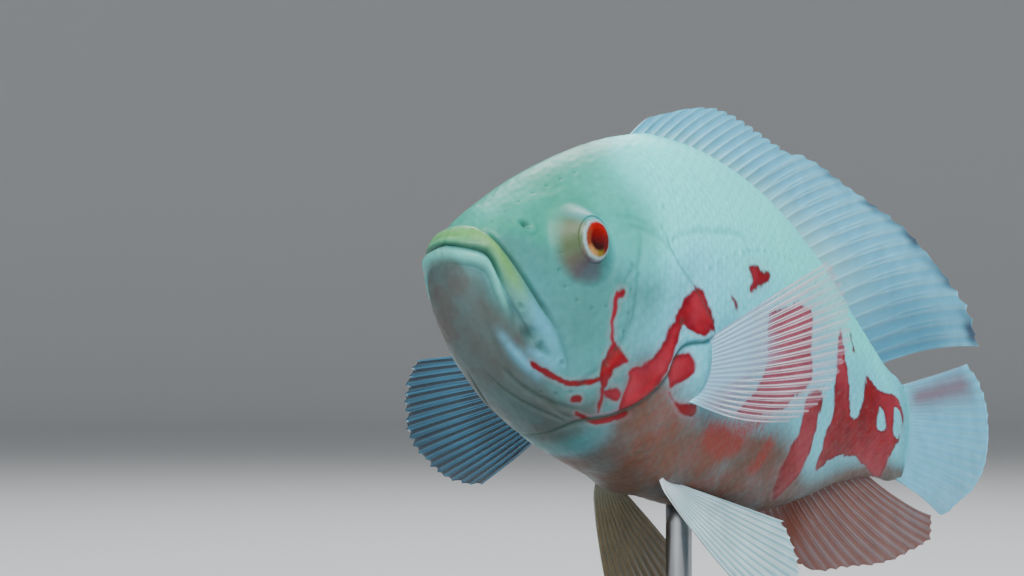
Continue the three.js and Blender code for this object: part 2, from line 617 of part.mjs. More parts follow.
function add(group, name, geometry, finish) {
  const mesh = new THREE.Mesh(geometry, finish);
  mesh.name = name;
  group.add(mesh);
}
add(fish, "head", geometryFrom(head), SKIN);
add(fish, "jaw_lower", geometryFrom(jaw), SKIN);
add(fish, "trunk", geometryFrom(trunk), SKIN);
add(fish, "tail_root", geometryFrom(tailRoot), SKIN);
add(fish, "fin_dorsal", medianFin(DORSAL), FIN);
add(fish, "fin_anal", medianFin(ANAL), FIN);
add(fish, "fin_tail", rooted(finSheet(caudalRays(CAUDAL), { rootPad: CAUDAL.rootPad })), FIN);
for (const [side, word] of [[LEFT, "left"], [RIGHT, "right"]]) {
  const cover = coverPlate.intersect(coverRegion(side, 0));
  add(fish, `gill_cover_${word}`, geometryFrom(cover), SKIN);
  add(fish, `eye_${word}`, geometryFrom(eyeShape(side)), EYE);
  add(fish, `fin_pectoral_${word}`, pairedFin(PECTORAL, side), FIN);
  add(fish, `fin_pelvic_${word}`, pairedFin(PELVIC, side), FIN);
}

const part = new THREE.Group();
part.add(fish);
add(part, "stand_base", standBase(), WOOD);
add(part, "stand_rod", standRod(), STEEL);

export default part;
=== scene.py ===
"""An adult oscar, white with red marks, as a life-size museum model held nose up over a plain stand.

The fish is worked out in millimetres in its own frame: x runs back from the snout, the left side
is at -y and z is up. fish_to_world() then turns it onto the stand, in the row frame and in metres.
A share is a share of the standard length.
"""

import math

import bpy
import numpy as np
from bpy.props import FloatProperty, FloatVectorProperty, PointerProperty
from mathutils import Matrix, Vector


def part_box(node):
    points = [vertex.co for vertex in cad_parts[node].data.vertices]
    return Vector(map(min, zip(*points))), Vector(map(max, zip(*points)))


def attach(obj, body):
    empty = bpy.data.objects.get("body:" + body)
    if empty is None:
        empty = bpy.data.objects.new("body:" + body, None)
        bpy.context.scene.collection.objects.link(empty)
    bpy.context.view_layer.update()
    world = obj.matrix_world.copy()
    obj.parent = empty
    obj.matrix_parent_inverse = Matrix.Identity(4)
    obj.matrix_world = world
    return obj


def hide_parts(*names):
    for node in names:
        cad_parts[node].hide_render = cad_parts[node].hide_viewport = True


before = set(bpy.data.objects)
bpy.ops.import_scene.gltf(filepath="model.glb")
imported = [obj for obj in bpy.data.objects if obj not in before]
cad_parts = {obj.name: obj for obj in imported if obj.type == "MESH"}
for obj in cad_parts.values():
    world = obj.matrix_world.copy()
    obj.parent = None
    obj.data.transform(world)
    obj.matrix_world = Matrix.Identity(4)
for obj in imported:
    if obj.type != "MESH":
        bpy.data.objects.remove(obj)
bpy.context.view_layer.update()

bl_info = {
    "name": "White and Red Oscar",
    "version": (1, 0, 0),
    "blender": (4, 5, 0),
    "location": "3D View > Sidebar > Oscar",
    "description": "Builds a life-size still model of a white and red oscar on its stand",
    "category": "Add Mesh",
}

BASE_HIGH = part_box("stand_base")[1]
ROD_LOW, ROD_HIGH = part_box("stand_rod")

# The body, as in the solids
STANDARD_LENGTH = 230.0
LEFT = -1
RIGHT = 1
SIDES = {"left": LEFT, "right": RIGHT}
PITCH = math.radians(15)
BANK = math.radians(5)
HOLD_SHARE = 0.47
HOLD_HEIGHT = 120.0
BACK = [
    (0, 0.01), (0.01, 0.033), (0.04, 0.064), (0.1, 0.119), (0.2, 0.193), (0.3, 0.247),
    (0.38, 0.268), (0.48, 0.275), (0.6, 0.261), (0.73, 0.216), (0.85, 0.148), (0.93, 0.104),
    (1, 0.094),
]
BELLY = [
    (0, 0.01), (0.006, -0.028), (0.03, -0.078), (0.09, -0.132), (0.18, -0.172), (0.3, -0.195),
    (0.42, -0.202), (0.54, -0.198), (0.65, -0.175), (0.76, -0.13), (0.85, -0.086), (0.92, -0.063),
    (1, -0.06),
]
HALF_WIDTH = [
    (0, 0), (0.01, 0.034), (0.035, 0.052), (0.09, 0.067), (0.16, 0.081), (0.26, 0.099),
    (0.36, 0.109), (0.46, 0.107), (0.6, 0.091), (0.74, 0.063), (0.86, 0.038), (0.94, 0.024),
    (1, 0.009),
]
WIDEST_LEVEL = [(0, 0.01), (0.1, -0.006), (0.3, -0.01), (0.5, 0.002), (1, 0.017)]
BACK_FULLNESS = 1.12
BELLY_FULLNESS = 0.78
TAIL_LEVEL = 0.017

# The mouth and the gill cover: lines are [share back, share up] as in the solids, and grooves are softer
MOUTH = [
    (0, 0.01), (0.003, 0.007), (0.009, 0.005), (0.019, 0.003), (0.027, 0), (0.033, -0.006),
    (0.045, -0.023), (0.056, -0.036), (0.08, -0.058), (0.112, -0.084), (0.14, -0.11),
]
MOUTH_GROOVE = {"depth": 1.3, "width": 0.8, "end": (0.036, 0.062)}
MOUTH_SLANT = 0.8
LOWER_LIP = {"width": 4, "height": 1.3, "end": (0.045, 0.08)}
UPPER_LIP = {"height": 1.8, "end": (0.07, 0.15), "inset": 2.5, "inset_end": 0.05, "inset_height": 2.8}
LIP_CREASE = [
    (0, 0.03), (0.013, 0.042), (0.023, 0.031), (0.036, 0.022), (0.048, 0.012), (0.065, -0.002),
    (0.083, -0.017), (0.111, -0.04), (0.141, -0.062),
]
CREASE_GROOVE = {"depth": 1.3, "width": 1.0, "start": (0.018, 0.036), "end": (0.11, 0.16)}
CHIN_CREASE = {"depth": 0.2, "at": 4.8, "width": 1.4}
GILL_EDGE = [
    (0.31, 0.32), (0.302, 0.2), (0.301, 0.115), (0.32, 0.074), (0.351, 0.048), (0.38, 0.021),
    (0.399, -0.002), (0.378, -0.018), (0.347, -0.03), (0.331, -0.05), (0.325, -0.075),
    (0.312, -0.098), (0.292, -0.12), (0.258, -0.143), (0.215, -0.162), (0.188, -0.2), (0.175, -0.27),
]
COVER_FRONT = [
    (0.262, 0.092), (0.257, 0.045), (0.256, 0), (0.247, -0.045), (0.228, -0.085), (0.2, -0.118),
]
COVER_TOP = 0.105
COVER_BOTTOM = -0.145
COVER_PROUD = 0.9
COVER_RIM = {"height": 0.25, "at": -1.6, "width": 1.1}
COVER_GROOVE = {"depth": 0.55, "at": 1.0, "width": 0.8}
COVER_FRONT_GROOVE = {"depth": 0.45, "width": 1.3}
NOSTRIL_AT = (0.083, 0.053)
NOSTRIL_RADIUS = 1.25

# The eye: a ball with a flat iris, in a collar of skin that rises to it
EYE_AT = (0.166, 0.049)
EYE_RADIUS = 7.9
EYE_RISE = 6.6
EYE_ROUNDNESS = 2.6
EYE_BACK_TILT = math.radians(0.5)
EYE_UP_TILT = math.radians(1)
EYE_LIFT = 1.1  # millimetres from the collar's middle up to the ball's
EYE_DOME = EYE_RADIUS + 0.2  # the dome's own radius, a little over the ball's
EYE_UNDERSIDE = -0.35  # radians that the ball runs on below its widest ring
IRIS_BULGE = 0.35
COLLAR = {"height": 4.3, "inner": 7.0, "outer": 12.4, "well": 5.5, "shades_end": (9.0, 12.8)}

# Fins, laid out as in the solids. Lengths are [share of the root line, share of length], leans are degrees.
# A bow bends a paired fin's two edges apart, a dive takes its root into the body, and both are millimetres.
FIN_SINK = 4.0
FIN_TRIM = 0.994  # keeps the ragged edges inside the solids' own
RAY_JOINT = 0.9  # millimetres from one joint of a ray to the next
LOBE_DEPTH = 0.085  # share of a spine's length that the notch between two spines takes
DORSAL = {
    "from": 0.325, "to": 0.93, "up": 1, "spines": 13, "soft": 18, "curl": 7, "sway": 4,
    "length": [
        (0, 0.042), (0.033, 0.069), (0.067, 0.092), (0.1, 0.109), (0.133, 0.119), (0.167, 0.122),
        (0.4, 0.123), (0.433, 0.145), (0.575, 0.193), (0.717, 0.263), (0.858, 0.314), (0.915, 0.322),
        (1, 0.3),
    ],
    "lean": [(0, 36), (0.4, 46), (0.433, 47), (1, 63)],
}
ANAL = {
    "from": 0.665, "to": 0.92, "up": -1, "spines": 3, "soft": 15, "curl": 10, "sway": 4,
    "length": [
        (0, 0.05), (0.059, 0.073), (0.118, 0.097), (0.176, 0.124), (0.382, 0.164), (0.588, 0.216),
        (0.794, 0.24), (0.835, 0.24), (1, 0.2),
    ],
    "lean": [(0, 32), (0.118, 39), (0.176, 44), (1, 76)],
}
CAUDAL = {
    "rays": 17, "spread": 15, "lift": 8.5, "root_half_height": 0.069, "sink": 3, "sway": 5,
    "length": [
        (0, 0.155), (0.12, 0.2), (0.3, 0.252), (0.5, 0.278), (0.7, 0.276), (0.88, 0.25),
        (1, 0.218),
    ],
}
PAIRED_SINK = 3.0
PECTORAL = {
    "at": (0.374, -0.062), "rays": 20,
    "length": [
        (0, 0.222), (0.1, 0.233), (0.25, 0.242), (0.33, 0.243), (0.5, 0.237), (0.75, 0.208),
        (0.9, 0.178), (1, 0.149),
    ],
    "root_span": {LEFT: (-2.5, 0, -17), RIGHT: (-2.5, 0, -17)},
    "first": {LEFT: (0.66, -0.37, 0.63), RIGHT: (-0.45, 0.84, 0.02)},
    "last": {LEFT: (0.9, -0.4, -0.03), RIGHT: (-0.13, 0.8, -0.52)},
    "cup": {LEFT: (3, 3, 2), RIGHT: (4, 0, -3)},
    "bow": (0.6, 2.4), "dive": {LEFT: (1.5, 2.6, 0), RIGHT: (1.5, -2.6, 0)},
}
PELVIC = {
    "at": (0.402, -0.19), "rays": 13,
    "length": [(0, 0.27), (0.5, 0.25), (1, 0.189)],
    "root_span": {LEFT: (8, 3, 0), RIGHT: (8, -3, 0)},
    "first": {LEFT: (0.76, -0.22, -0.62), RIGHT: (0.64, 0.27, -0.72)},
    "last": {LEFT: (0.95, -0.24, -0.1), RIGHT: (0.9, 0.2, -0.32)},
    "cup": {LEFT: (4, 0, 2), RIGHT: (4, 0, 2)},
    "bow": (2.2, 1.0), "dive": {LEFT: (2, 0.5, 2.5), RIGHT: (2, -0.5, 2.5)},
}

# The skin's grid
SECTIONS = 560
COLUMNS = 540
FIRST_ROOT = 0.003  # the root of the first section's share
FLANK_DENSITY = 1 / 6  # how much closer the columns lie on the flank than on the back and belly
TAIL_FRINGE = {"start": 0.965, "reach": 2.4, "half_height": 0.08, "thinner": 0.45, "lower": 0.12}
CHART_HEIGHT = 120.0  # millimetres from the back to the belly on the chart of marks

# Red marks on the chart: [share back, share from the back's midline to the belly's]
RED_PATCHES = {
    "cheek": [
        (0.228, 0.592), (0.238, 0.598), (0.255, 0.618), (0.247, 0.632), (0.24, 0.655), (0.238, 0.69),
        (0.23, 0.71), (0.223, 0.7), (0.22, 0.665), (0.221, 0.63),
    ],
    "gill cover": [
        (0.353, 0.44), (0.376, 0.436), (0.388, 0.455), (0.4, 0.487), (0.374, 0.512), (0.348, 0.512),
        (0.333, 0.505), (0.328, 0.55), (0.324, 0.6), (0.313, 0.65), (0.294, 0.707), (0.272, 0.748),
        (0.264, 0.73), (0.266, 0.67), (0.262, 0.645), (0.284, 0.612), (0.302, 0.568), (0.312, 0.515),
        (0.327, 0.482), (0.34, 0.458),
    ],
    "cheek bridge": [(0.232, 0.726), (0.24, 0.706), (0.254, 0.696), (0.262, 0.71), (0.252, 0.728)],
    "fin pit": [
        (0.33, 0.575), (0.35, 0.558), (0.366, 0.58), (0.364, 0.607), (0.347, 0.632), (0.333, 0.64),
    ],
    "below the fin": [
        (0.337, 0.654), (0.357, 0.668), (0.382, 0.66), (0.393, 0.672), (0.389, 0.69), (0.37, 0.688),
        (0.355, 0.675),
    ],
    "heart": [
        (0.477, 0.37), (0.494, 0.36), (0.506, 0.357), (0.51, 0.364), (0.533, 0.357), (0.531, 0.372),
        (0.517, 0.388), (0.5, 0.402), (0.485, 0.412), (0.48, 0.404), (0.488, 0.394), (0.482, 0.384),
    ],
    "flank": [
        (0.532, 0.433), (0.573, 0.409), (0.617, 0.382), (0.652, 0.375), (0.655, 0.44), (0.66, 0.51),
        (0.632, 0.547), (0.612, 0.573), (0.58, 0.605), (0.53, 0.635), (0.485, 0.643), (0.505, 0.605),
        (0.527, 0.545), (0.53, 0.49),
    ],
    "slanted stripe": [
        (0.671, 0.525), (0.688, 0.516), (0.7, 0.535), (0.699, 0.58), (0.7, 0.625), (0.694, 0.7),
        (0.687, 0.76), (0.676, 0.81), (0.66, 0.87), (0.648, 0.86), (0.632, 0.8), (0.63, 0.745),
        (0.638, 0.685), (0.647, 0.64), (0.649, 0.57),
    ],
    "tail root": [
        (0.757, 0.34), (0.745, 0.38), (0.739, 0.45), (0.738, 0.52), (0.741, 0.58), (0.733, 0.625),
        (0.731, 0.69), (0.733, 0.77), (0.75, 0.752), (0.77, 0.725), (0.802, 0.717), (0.837, 0.737),
        (0.868, 0.785), (0.9, 0.87), (0.93, 0.97), (0.945, 0.95), (0.94, 0.86), (0.945, 0.75),
        (0.953, 0.64), (0.968, 0.56), (0.975, 0.48), (0.975, 0.41), (0.958, 0.335), (0.935, 0.34),
        (0.9, 0.38), (0.875, 0.388), (0.85, 0.382), (0.84, 0.43), (0.832, 0.5), (0.82, 0.55),
        (0.808, 0.565), (0.796, 0.545), (0.786, 0.48), (0.776, 0.43), (0.766, 0.385),
    ],
}
BELLY_PATCHES = [
    [
        (0.427, 0.713), (0.437, 0.681), (0.467, 0.662), (0.506, 0.652), (0.556, 0.622), (0.557, 0.644),
        (0.53, 0.672), (0.523, 0.697), (0.514, 0.73), (0.494, 0.754), (0.463, 0.76), (0.439, 0.743),
    ],
    [
        (0.576, 0.671), (0.591, 0.685), (0.586, 0.718), (0.578, 0.755), (0.569, 0.784), (0.553, 0.768),
        (0.559, 0.731), (0.568, 0.696),
    ],
]
PALE_HOLES = [
    [(0.889, 0.48), (0.9, 0.46), (0.909, 0.49), (0.914, 0.55), (0.903, 0.577), (0.888, 0.55)],
    [(0.941, 0.42), (0.955, 0.4), (0.969, 0.44), (0.972, 0.51), (0.957, 0.573), (0.941, 0.54)],
]
# Red strokes: (points, width at the start, width at the end) in millimetres
RED_STROKES = [
    ([(0.231, 0.477), (0.223, 0.495), (0.222, 0.53), (0.223, 0.57), (0.229, 0.605)], 1.7, 0.9),
    ([(0.128, 0.757), (0.15, 0.757), (0.178, 0.744), (0.205, 0.716), (0.228, 0.68)], 2.6, 1.4),
    ([(0.23, 0.715), (0.236, 0.75), (0.241, 0.775)], 1.6, 0.7),
    ([(0.215, 0.818), (0.23, 0.813), (0.25, 0.802), (0.268, 0.772), (0.281, 0.745)], 1.4, 2.6),
    ([(0.196, 0.777), (0.203, 0.771)], 2.2, 2.6),
    ([(0.439, 0.432), (0.451, 0.446)], 0.9, 0.7),
    ([(0.793, 0.308), (0.8, 0.354)], 1.0, 1.5),
    ([(0.745, 0.43), (0.748, 0.445)], 1.0, 1.0),
]

# Folds and grooves on the chart: (points, depth, width) in millimetres; a negative depth is a ridge
FOLDS = [
    ([(0.138, 0.615), (0.152, 0.64), (0.167, 0.674), (0.178, 0.72)], 0.5, 1.5),
    ([(0.235, 0.346), (0.27, 0.352), (0.298, 0.366), (0.31, 0.39)], 0.5, 0.8),
    ([(0.225, 0.325), (0.26, 0.333), (0.295, 0.352)], 0.35, 0.7),
    ([(0.314, 0.364), (0.366, 0.34), (0.411, 0.329), (0.471, 0.318), (0.483, 0.36)], 0.45, 0.8),
    ([(0.182, 0.3), (0.155, 0.27), (0.12, 0.24), (0.079, 0.21)], -0.6, 4.5),
    ([(0.196, 0.32), (0.22, 0.29), (0.245, 0.28)], -0.4, 4.0),
    ([(0.091, 0.865), (0.125, 0.86), (0.165, 0.837), (0.209, 0.806)], 0.5, 1.3),
    ([(0.086, 0.957), (0.117, 0.936), (0.163, 0.891), (0.2, 0.865)], 0.7, 0.9),
    ([(0.051, 0.616), (0.074, 0.653), (0.086, 0.705)], 0.35, 1.0),
    ([(0.03, 0.7), (0.05, 0.775), (0.08, 0.83), (0.12, 0.872)], 0.3, 1.6),
    ([(0.03, 0.63), (0.05, 0.69), (0.066, 0.75)], 0.2, 1.4),
    ([(0.16, 0.83), (0.19, 0.845), (0.215, 0.835)], 0.3, 1.2),
    ([(0.232, 0.47), (0.242, 0.44), (0.256, 0.42)], 0.25, 0.7),
]
# The bluish white ridges behind the mouth's corner, raised and with a painted highlight
PALE_RIDGES = [
    ([(0.077, 0.595), (0.095, 0.612), (0.117, 0.635), (0.138, 0.662), (0.155, 0.7)], 0.8, 3.6),
    ([(0.079, 0.765), (0.096, 0.774), (0.115, 0.778), (0.132, 0.78)], 0.8, 2.8),
    ([(0.118, 0.727), (0.133, 0.725), (0.147, 0.726)], 0.4, 2.0),
]
# Pits on the chart: (share back, share down, depth, radius)
PITS = [
    (0.081, 0.628, 0.4, 0.9), (0.104, 0.686, 0.8, 1.9), (0.127, 0.698, 0.6, 1.4),
    (0.137, 0.702, 0.4, 1.1), (0.162, 0.702, 0.4, 0.8), (0.307, 0.303, 0.35, 0.7),
    (0.301, 0.345, 0.3, 0.6), (0.321, 0.365, 0.3, 0.6), (0.334, 0.5, 0.5, 0.8),
]
PORE_LINES = [
    [(0.125, 0.42), (0.135, 0.49), (0.165, 0.53), (0.2, 0.53), (0.22, 0.49)],
    [(0.245, 0.42), (0.245, 0.52), (0.235, 0.61), (0.215, 0.7), (0.18, 0.78), (0.14, 0.84)],
    [(0.04, 0.24), (0.08, 0.2), (0.13, 0.18), (0.18, 0.17)],
]
PORE_SPACING = 5.5
PORE = {"depth": 0.35, "radius": 0.55}
LATERAL_LINES = [
    [(0.385, 0.4), (0.46, 0.35), (0.56, 0.31), (0.66, 0.295), (0.76, 0.3), (0.84, 0.325)],
    [(0.72, 0.5), (0.82, 0.49), (0.92, 0.485), (0.99, 0.48)],
]
SCALE_SPACING = 4.4
SCALE_REACH = 0.64  # a scale's radius over the spacing
RIGHT_SIDE_WANDER = 5.0  # the right side's marks wander this far from the left side's

# Swellings at the paired fins' roots: (fin, millimetres ahead of it, length, height, rise)
FIN_PADS = [(PECTORAL, -1.5, 5, 11, 3.0), (PELVIC, 1, 7, 4.5, 1.8)]

# Soft regions of colour: shares back where each starts and ends, and shares down it lies above or below
BROW = {"ends": (0.13, 0.3), "above": (0.46, 0.66)}
CHEEK = {"ends": (0.25, 0.33), "below": (0.34, 0.46)}
COVER = {"starts": (0.25, 0.33), "ends": (0.36, 0.44), "below": (0.36, 0.48)}
# The chin and the belly: their own greys, with painted shade of the underside over them
CHIN = {"ends": (0.16, 0.3), "below": (0.6, 0.74), "front_ends": (0.05, 0.14), "under_mouth": (1, 10)}
DARK_AND_SHADED_BELLY = {
    "starts": (0.22, 0.34), "below": (0.54, 0.7), "below_at_rear": (0.66, 0.84), "rear": (0.5, 0.8),
}
FLANK = {"below": (0.24, 0.5), "tail_starts": (0.88, 0.97)}
WASH = {"starts": (0.26, 0.34), "ends": (0.6, 0.72), "below": (0.6, 0.68), "above": (0.84, 0.95)}
# Where scales show: from the nape back, and more weakly on the gill cover
SCALED = {"starts": (0.22, 0.34), "cover_starts": (0.19, 0.25), "below": (0.36, 0.45), "above": (0.72, 0.8)}


def paint(red, green, blue):
    """A colour seen as these bytes, as the linear numbers that a shader takes."""
    return tuple(
        c / 12.92 if c <= 0.04045 else ((c + 0.055) / 1.055) ** 2.4
        for c in (red / 255, green / 255, blue / 255)
    )


def between_paints(one, other, share):
    """The colour a share of the way from one colour setting to another."""
    return mix(np.array(one), np.array(other), share)


def colour_property(name, description, rgb):
    """A colour setting, given as the bytes it is seen as."""
    return FloatVectorProperty(
        name=name, description=description, subtype="COLOR", size=3, min=0, max=1, default=paint(*rgb)
    )


def length_property(name, description, default, precision=4, **limits):
    """A setting in metres."""
    return FloatProperty(
        name=name, description=description, default=default, unit="LENGTH", precision=precision, **limits
    )


class OscarSkinFinish(bpy.types.PropertyGroup):
    """The skin's colours and relief."""

    back: colour_property("Back", "Nape and back, palest", (100, 234, 232))
    flank: colour_property("Flank", "Sides of the body", (98, 204, 224))
    brow: colour_property("Brow", "Greenish forehead and snout", (46, 142, 114))
    lip: colour_property("Lip", "Yellowish green upper lip", (108, 168, 84))
    lower_lip: colour_property("Lower lip", "Pale rim of the lower lip", (108, 206, 194))
    cheek: colour_property("Cheek", "Cheek", (72, 136, 134))
    cover: colour_property("Gill cover", "Bluer gill cover", (84, 158, 176))
    # The chin's own grey with painted shade of the underside
    chin: colour_property("Chin", "Greyish chin and throat", (80, 76, 72))
    mottle: colour_property("Mottle", "Brownish blotches of the chin", (84, 62, 58))
    # Painted highlight on the pale ridges behind the mouth
    ridge: colour_property("Ridge", "Bluish white ridge behind the mouth", (96, 184, 214))
    # The belly's own grey-brown with painted shade of the underside
    belly: colour_property("Belly", "Greyish belly", (94, 76, 66))
    wash: colour_property("Belly wash", "Orange-brown brushing of the belly", (136, 48, 20))
    orange: colour_property("Belly patch", "Orange-red patch of the belly", (158, 20, 2))
    red: colour_property("Red", "Middle of the red marks", (136, 0, 14))
    crimson: colour_property("Crimson", "Darker parts of the red marks", (88, 0, 20))
    rose: colour_property("Rose", "Paler pink parts of the red marks", (176, 58, 76))
    halo: colour_property("Halo", "Pale pink round the red marks", (190, 130, 150))
    # Painted shade in folds, grooves, pits, pores and the nostrils
    crease: colour_property("Crease", "Folds and grooves", (46, 78, 66))
    olive: colour_property("Olive", "Front of the eye's ring", (84, 104, 72))
    # Brownish skin on the eye's lower front, darkened as painted shade
    umber_and_shade: colour_property("Umber", "Lower front of the eye's ring", (96, 80, 60))
    # Painted shadow below the eye, on the collar and the ball
    shadow_below_eye: colour_property("Mauve", "Below the eye", (78, 72, 88))
    # Painted highlight above the eye; on the collar's lit top slope it acts as painted shade
    top_highlight_and_shade: colour_property("Glint", "Above the eye", (68, 158, 160))
    scale_height: length_property(
        "Scale height", "Height of a scale's rear edge", 0.0002, precision=5, min=0, max=0.001
    )
    roughness: FloatProperty(name="Roughness", description="Of the skin", default=0.44, min=0, max=1)
    coat: FloatProperty(name="Slime coat", description="Weight of the wet gloss", default=0.08, min=0, max=1)


class OscarFinFinish(bpy.types.PropertyGroup):
    """The fins' colours and thickness."""

    ray: colour_property("Ray", "Rays of the dorsal and tail fins", (134, 204, 228))
    web: colour_property("Web", "Membrane between the rays", (98, 188, 222))
    ray_pectoral: colour_property("Pectoral ray", "Rays of the paired fins", (206, 224, 232))
    web_pectoral: colour_property("Pectoral web", "Membrane of the paired fins", (170, 140, 170))
    base_pectoral: colour_property("Pectoral base", "Fleshy part of the pectoral fins", (116, 168, 192))
    web_pelvic: colour_property("Pelvic web", "Membrane of the left pelvic fin", (132, 186, 196))
    rosy: colour_property("Rosy", "Blush of the pectoral fins", (178, 70, 92))
    # The right pectoral fin's colours are the near fin's in painted shade; the dorsal's darker rear also
    # takes this ray colour
    shaded_ray: colour_property("Far ray", "Rays of the right pectoral fin", (48, 112, 142))
    shaded_web: colour_property("Far web", "Membrane of the right pectoral fin", (10, 36, 52))
    fringe: colour_property("Fringe", "Dark outer edge of the soft dorsal", (52, 56, 78))
    band: colour_property("Band", "Pinkish band along the tail fin's top", (122, 88, 100))
    blush: colour_property("Anal fin", "Greyish pink of the anal fin", (116, 78, 72))
    streak: colour_property("Streak", "Brown-orange streak of the anal fin", (104, 42, 18))
    olive: colour_property("Olive", "Right pelvic fin", (112, 92, 34))
    web_alpha: FloatProperty(
        name="Web cover", description="How much the paired fins' membrane hides", default=0.12, min=0, max=1
    )
    web_thickness: length_property(
        "Web thickness", "Of the membrane", 0.0003, precision=5, min=0.0001, max=0.001
    )
    ray_thickness: length_property(
        "Ray thickness", "Of a ray at its root", 0.0014, precision=5, min=0.0003, max=0.003
    )


class OscarEyeFinish(bpy.types.PropertyGroup):
    """The eyes' colours and sizes."""

    iris_radius: length_property("Iris radius", "Outer edge of the iris", 0.0052)
    rim_width: length_property("Rim width", "Of the pale rim round the iris", 0.0005)
    pupil_radius: length_property("Pupil radius", "Edge of the pupil", 0.0033)
    globe: colour_property("Globe", "Greyish skin of the eyeball", (96, 128, 132))
    rim: colour_property("Rim", "Bluish white rim round the iris", (140, 172, 176))
    red: colour_property("Red", "Top of the iris", (160, 6, 0))
    orange: colour_property("Orange", "Front of the iris", (134, 58, 34))
    crimson: colour_property("Crimson", "Back of the iris", (104, 14, 14))
    cream: colour_property("Cream", "Lower front of the iris", (190, 142, 84))
    olive: colour_property("Olive", "Lower back of the iris", (124, 108, 32))
    pupil: colour_property("Pupil", "Dark red pupil", (46, 0, 0))
    glow: colour_property("Glow", "Red light in the pupil's upper half", (150, 0, 0))


class OscarStandFinish(bpy.types.PropertyGroup):
    """The stand's finish."""

    wood: colour_property("Wood", "Black-brown stained wood", (44, 36, 31))
    grain: colour_property("Grain", "Paler grain of the wood", (78, 62, 50))
    steel: colour_property("Steel", "Brushed steel rod", (178, 180, 184))
    edge: length_property("Edge", "Rounding of the base's upper edge", 0.003)


class OscarStageFinish(bpy.types.PropertyGroup):
    """The studio and the camera."""

    backdrop: colour_property("Backdrop", "Floor and backdrop", (206, 208, 210))
    world: FloatProperty(name="World", description="Strength of the surrounding light", default=0.22, min=0)
    key: FloatProperty(name="Key", description="Key lamp", default=58, min=0, unit="POWER")
    fill: FloatProperty(name="Fill", description="Fill lamp", default=4, min=0, unit="POWER")
    rim: FloatProperty(name="Rim", description="Lamp behind the back", default=16, min=0, unit="POWER")
    azimuth: FloatProperty(
        name="Azimuth", description="Of the camera", default=math.radians(-47.84), unit="ROTATION"
    )
    elevation: FloatProperty(
        name="Elevation", description="Of the camera", default=math.radians(-1), unit="ROTATION"
    )
    distance: FloatProperty(name="Distance", description="Camera to target", default=0.92, unit="LENGTH")
    target: FloatVectorProperty(
        name="Target", description="Point in the middle of the view", default=(-0.03428, 0.03736, 0.1393),
        subtype="TRANSLATION", size=3, precision=5,
    )
    lens: FloatProperty(
        name="Lens", description="Focal length on a 36 mm sensor", default=106.3, unit="CAMERA"
    )


def profile(points):
    """A smooth line through [x, y] points over the square root of x, so that it is round at x = 0."""
    xs = np.sqrt(np.array([p[0] for p in points], float))
    ys = np.array([p[1] for p in points], float)
    before = np.maximum(np.arange(len(xs)) - 1, 0)
    after = np.minimum(np.arange(len(xs)) + 1, len(xs) - 1)
    slope = (ys[after] - ys[before]) / (xs[after] - xs[before])

    def at(share):
        x = np.minimum(np.sqrt(np.maximum(share, 0)), xs[-1])
        i = np.clip(np.searchsorted(xs, x) - 1, 0, len(xs) - 2)
        step = xs[i + 1] - xs[i]
        t = (x - xs[i]) / step
        start = ys[i] * (1 + 2 * t) * (1 - t) ** 2 + slope[i] * step * t * (1 - t) ** 2
        return start + ys[i + 1] * t * t * (3 - 2 * t) + slope[i + 1] * step * t * t * (t - 1)

    return at


back, belly, half_width = profile(BACK), profile(BELLY), profile(HALF_WIDTH)
widest_level, mouth_level, crease_line = profile(WIDEST_LEVEL), profile(MOUTH), profile(LIP_CREASE)


def smooth(x, low, high):
    """0 below low, 1 above high and an S between them."""
    t = np.clip((x - low) / (high - low), 0, 1)
    return t * t * (3 - 2 * t)


def bell(x):
    return np.exp(-x * x)


def mix(a, b, t):
    return a + (b - a) * t


def unit(vectors):
    length = np.linalg.norm(vectors, axis=-1, keepdims=True)
    return vectors / np.maximum(length, 1e-9)


def waves(points, size, seed, count=9):
    """Smooth seeded noise, about -1 to 1, with bumps about size millimetres across."""
    draw = np.random.default_rng(seed)
    directions = unit(draw.normal(size=(count, points.shape[-1])))
    lengths = size * draw.uniform(0.8, 1.7, count)
    phases = draw.uniform(0, 2 * math.pi, count)
    total = np.zeros(points.shape[:-1])
    for direction, length, phase in zip(directions, lengths, phases):
        total += np.sin(points @ direction * (2 * math.pi / length) + phase)
    return total / math.sqrt(count)


def body_point(share, angle, side):
    """A point of the plain body: angle 0 is the back's midline and pi the belly's."""
    middle = widest_level(share)
    reach = np.where(np.cos(angle) > 0, back(share) - middle, middle - belly(share))
    fullness = mix(BACK_FULLNESS, BELLY_FULLNESS, angle / math.pi)
    y = side * half_width(share) * np.maximum(np.sin(angle), 0) ** fullness
    return np.stack(np.broadcast_arrays(share, y, middle + reach * np.cos(angle)), -1) * STANDARD_LENGTH


def angle_of_level(share, level):
    """The angle at which the plain body's side passes a level."""
    middle = widest_level(share)
    reach = np.where(level > middle, back(share) - middle, middle - belly(share))
    return np.arccos(np.clip((level - middle) / np.maximum(reach, 1e-6), -1, 1))


def point_at_level(place, side):
    share, level = place
    return body_point(share, angle_of_level(share, level), side)


def fish_to_world(points):
    """Fish frame in millimetres to the row frame in metres."""
    c, s = math.cos(PITCH), math.sin(PITCH)
    pitch = np.array([[c, 0, s], [0, 1, 0], [-s, 0, c]])
    c, s = math.cos(-BANK), math.sin(-BANK)
    bank = np.array([[1, 0, 0], [0, c, -s], [0, s, c]])
    hold = np.array([HOLD_SHARE * STANDARD_LENGTH, 0, 0])
    return ((points - hold) @ (pitch @ bank).T + [0, 0, HOLD_HEIGHT]) / 1000


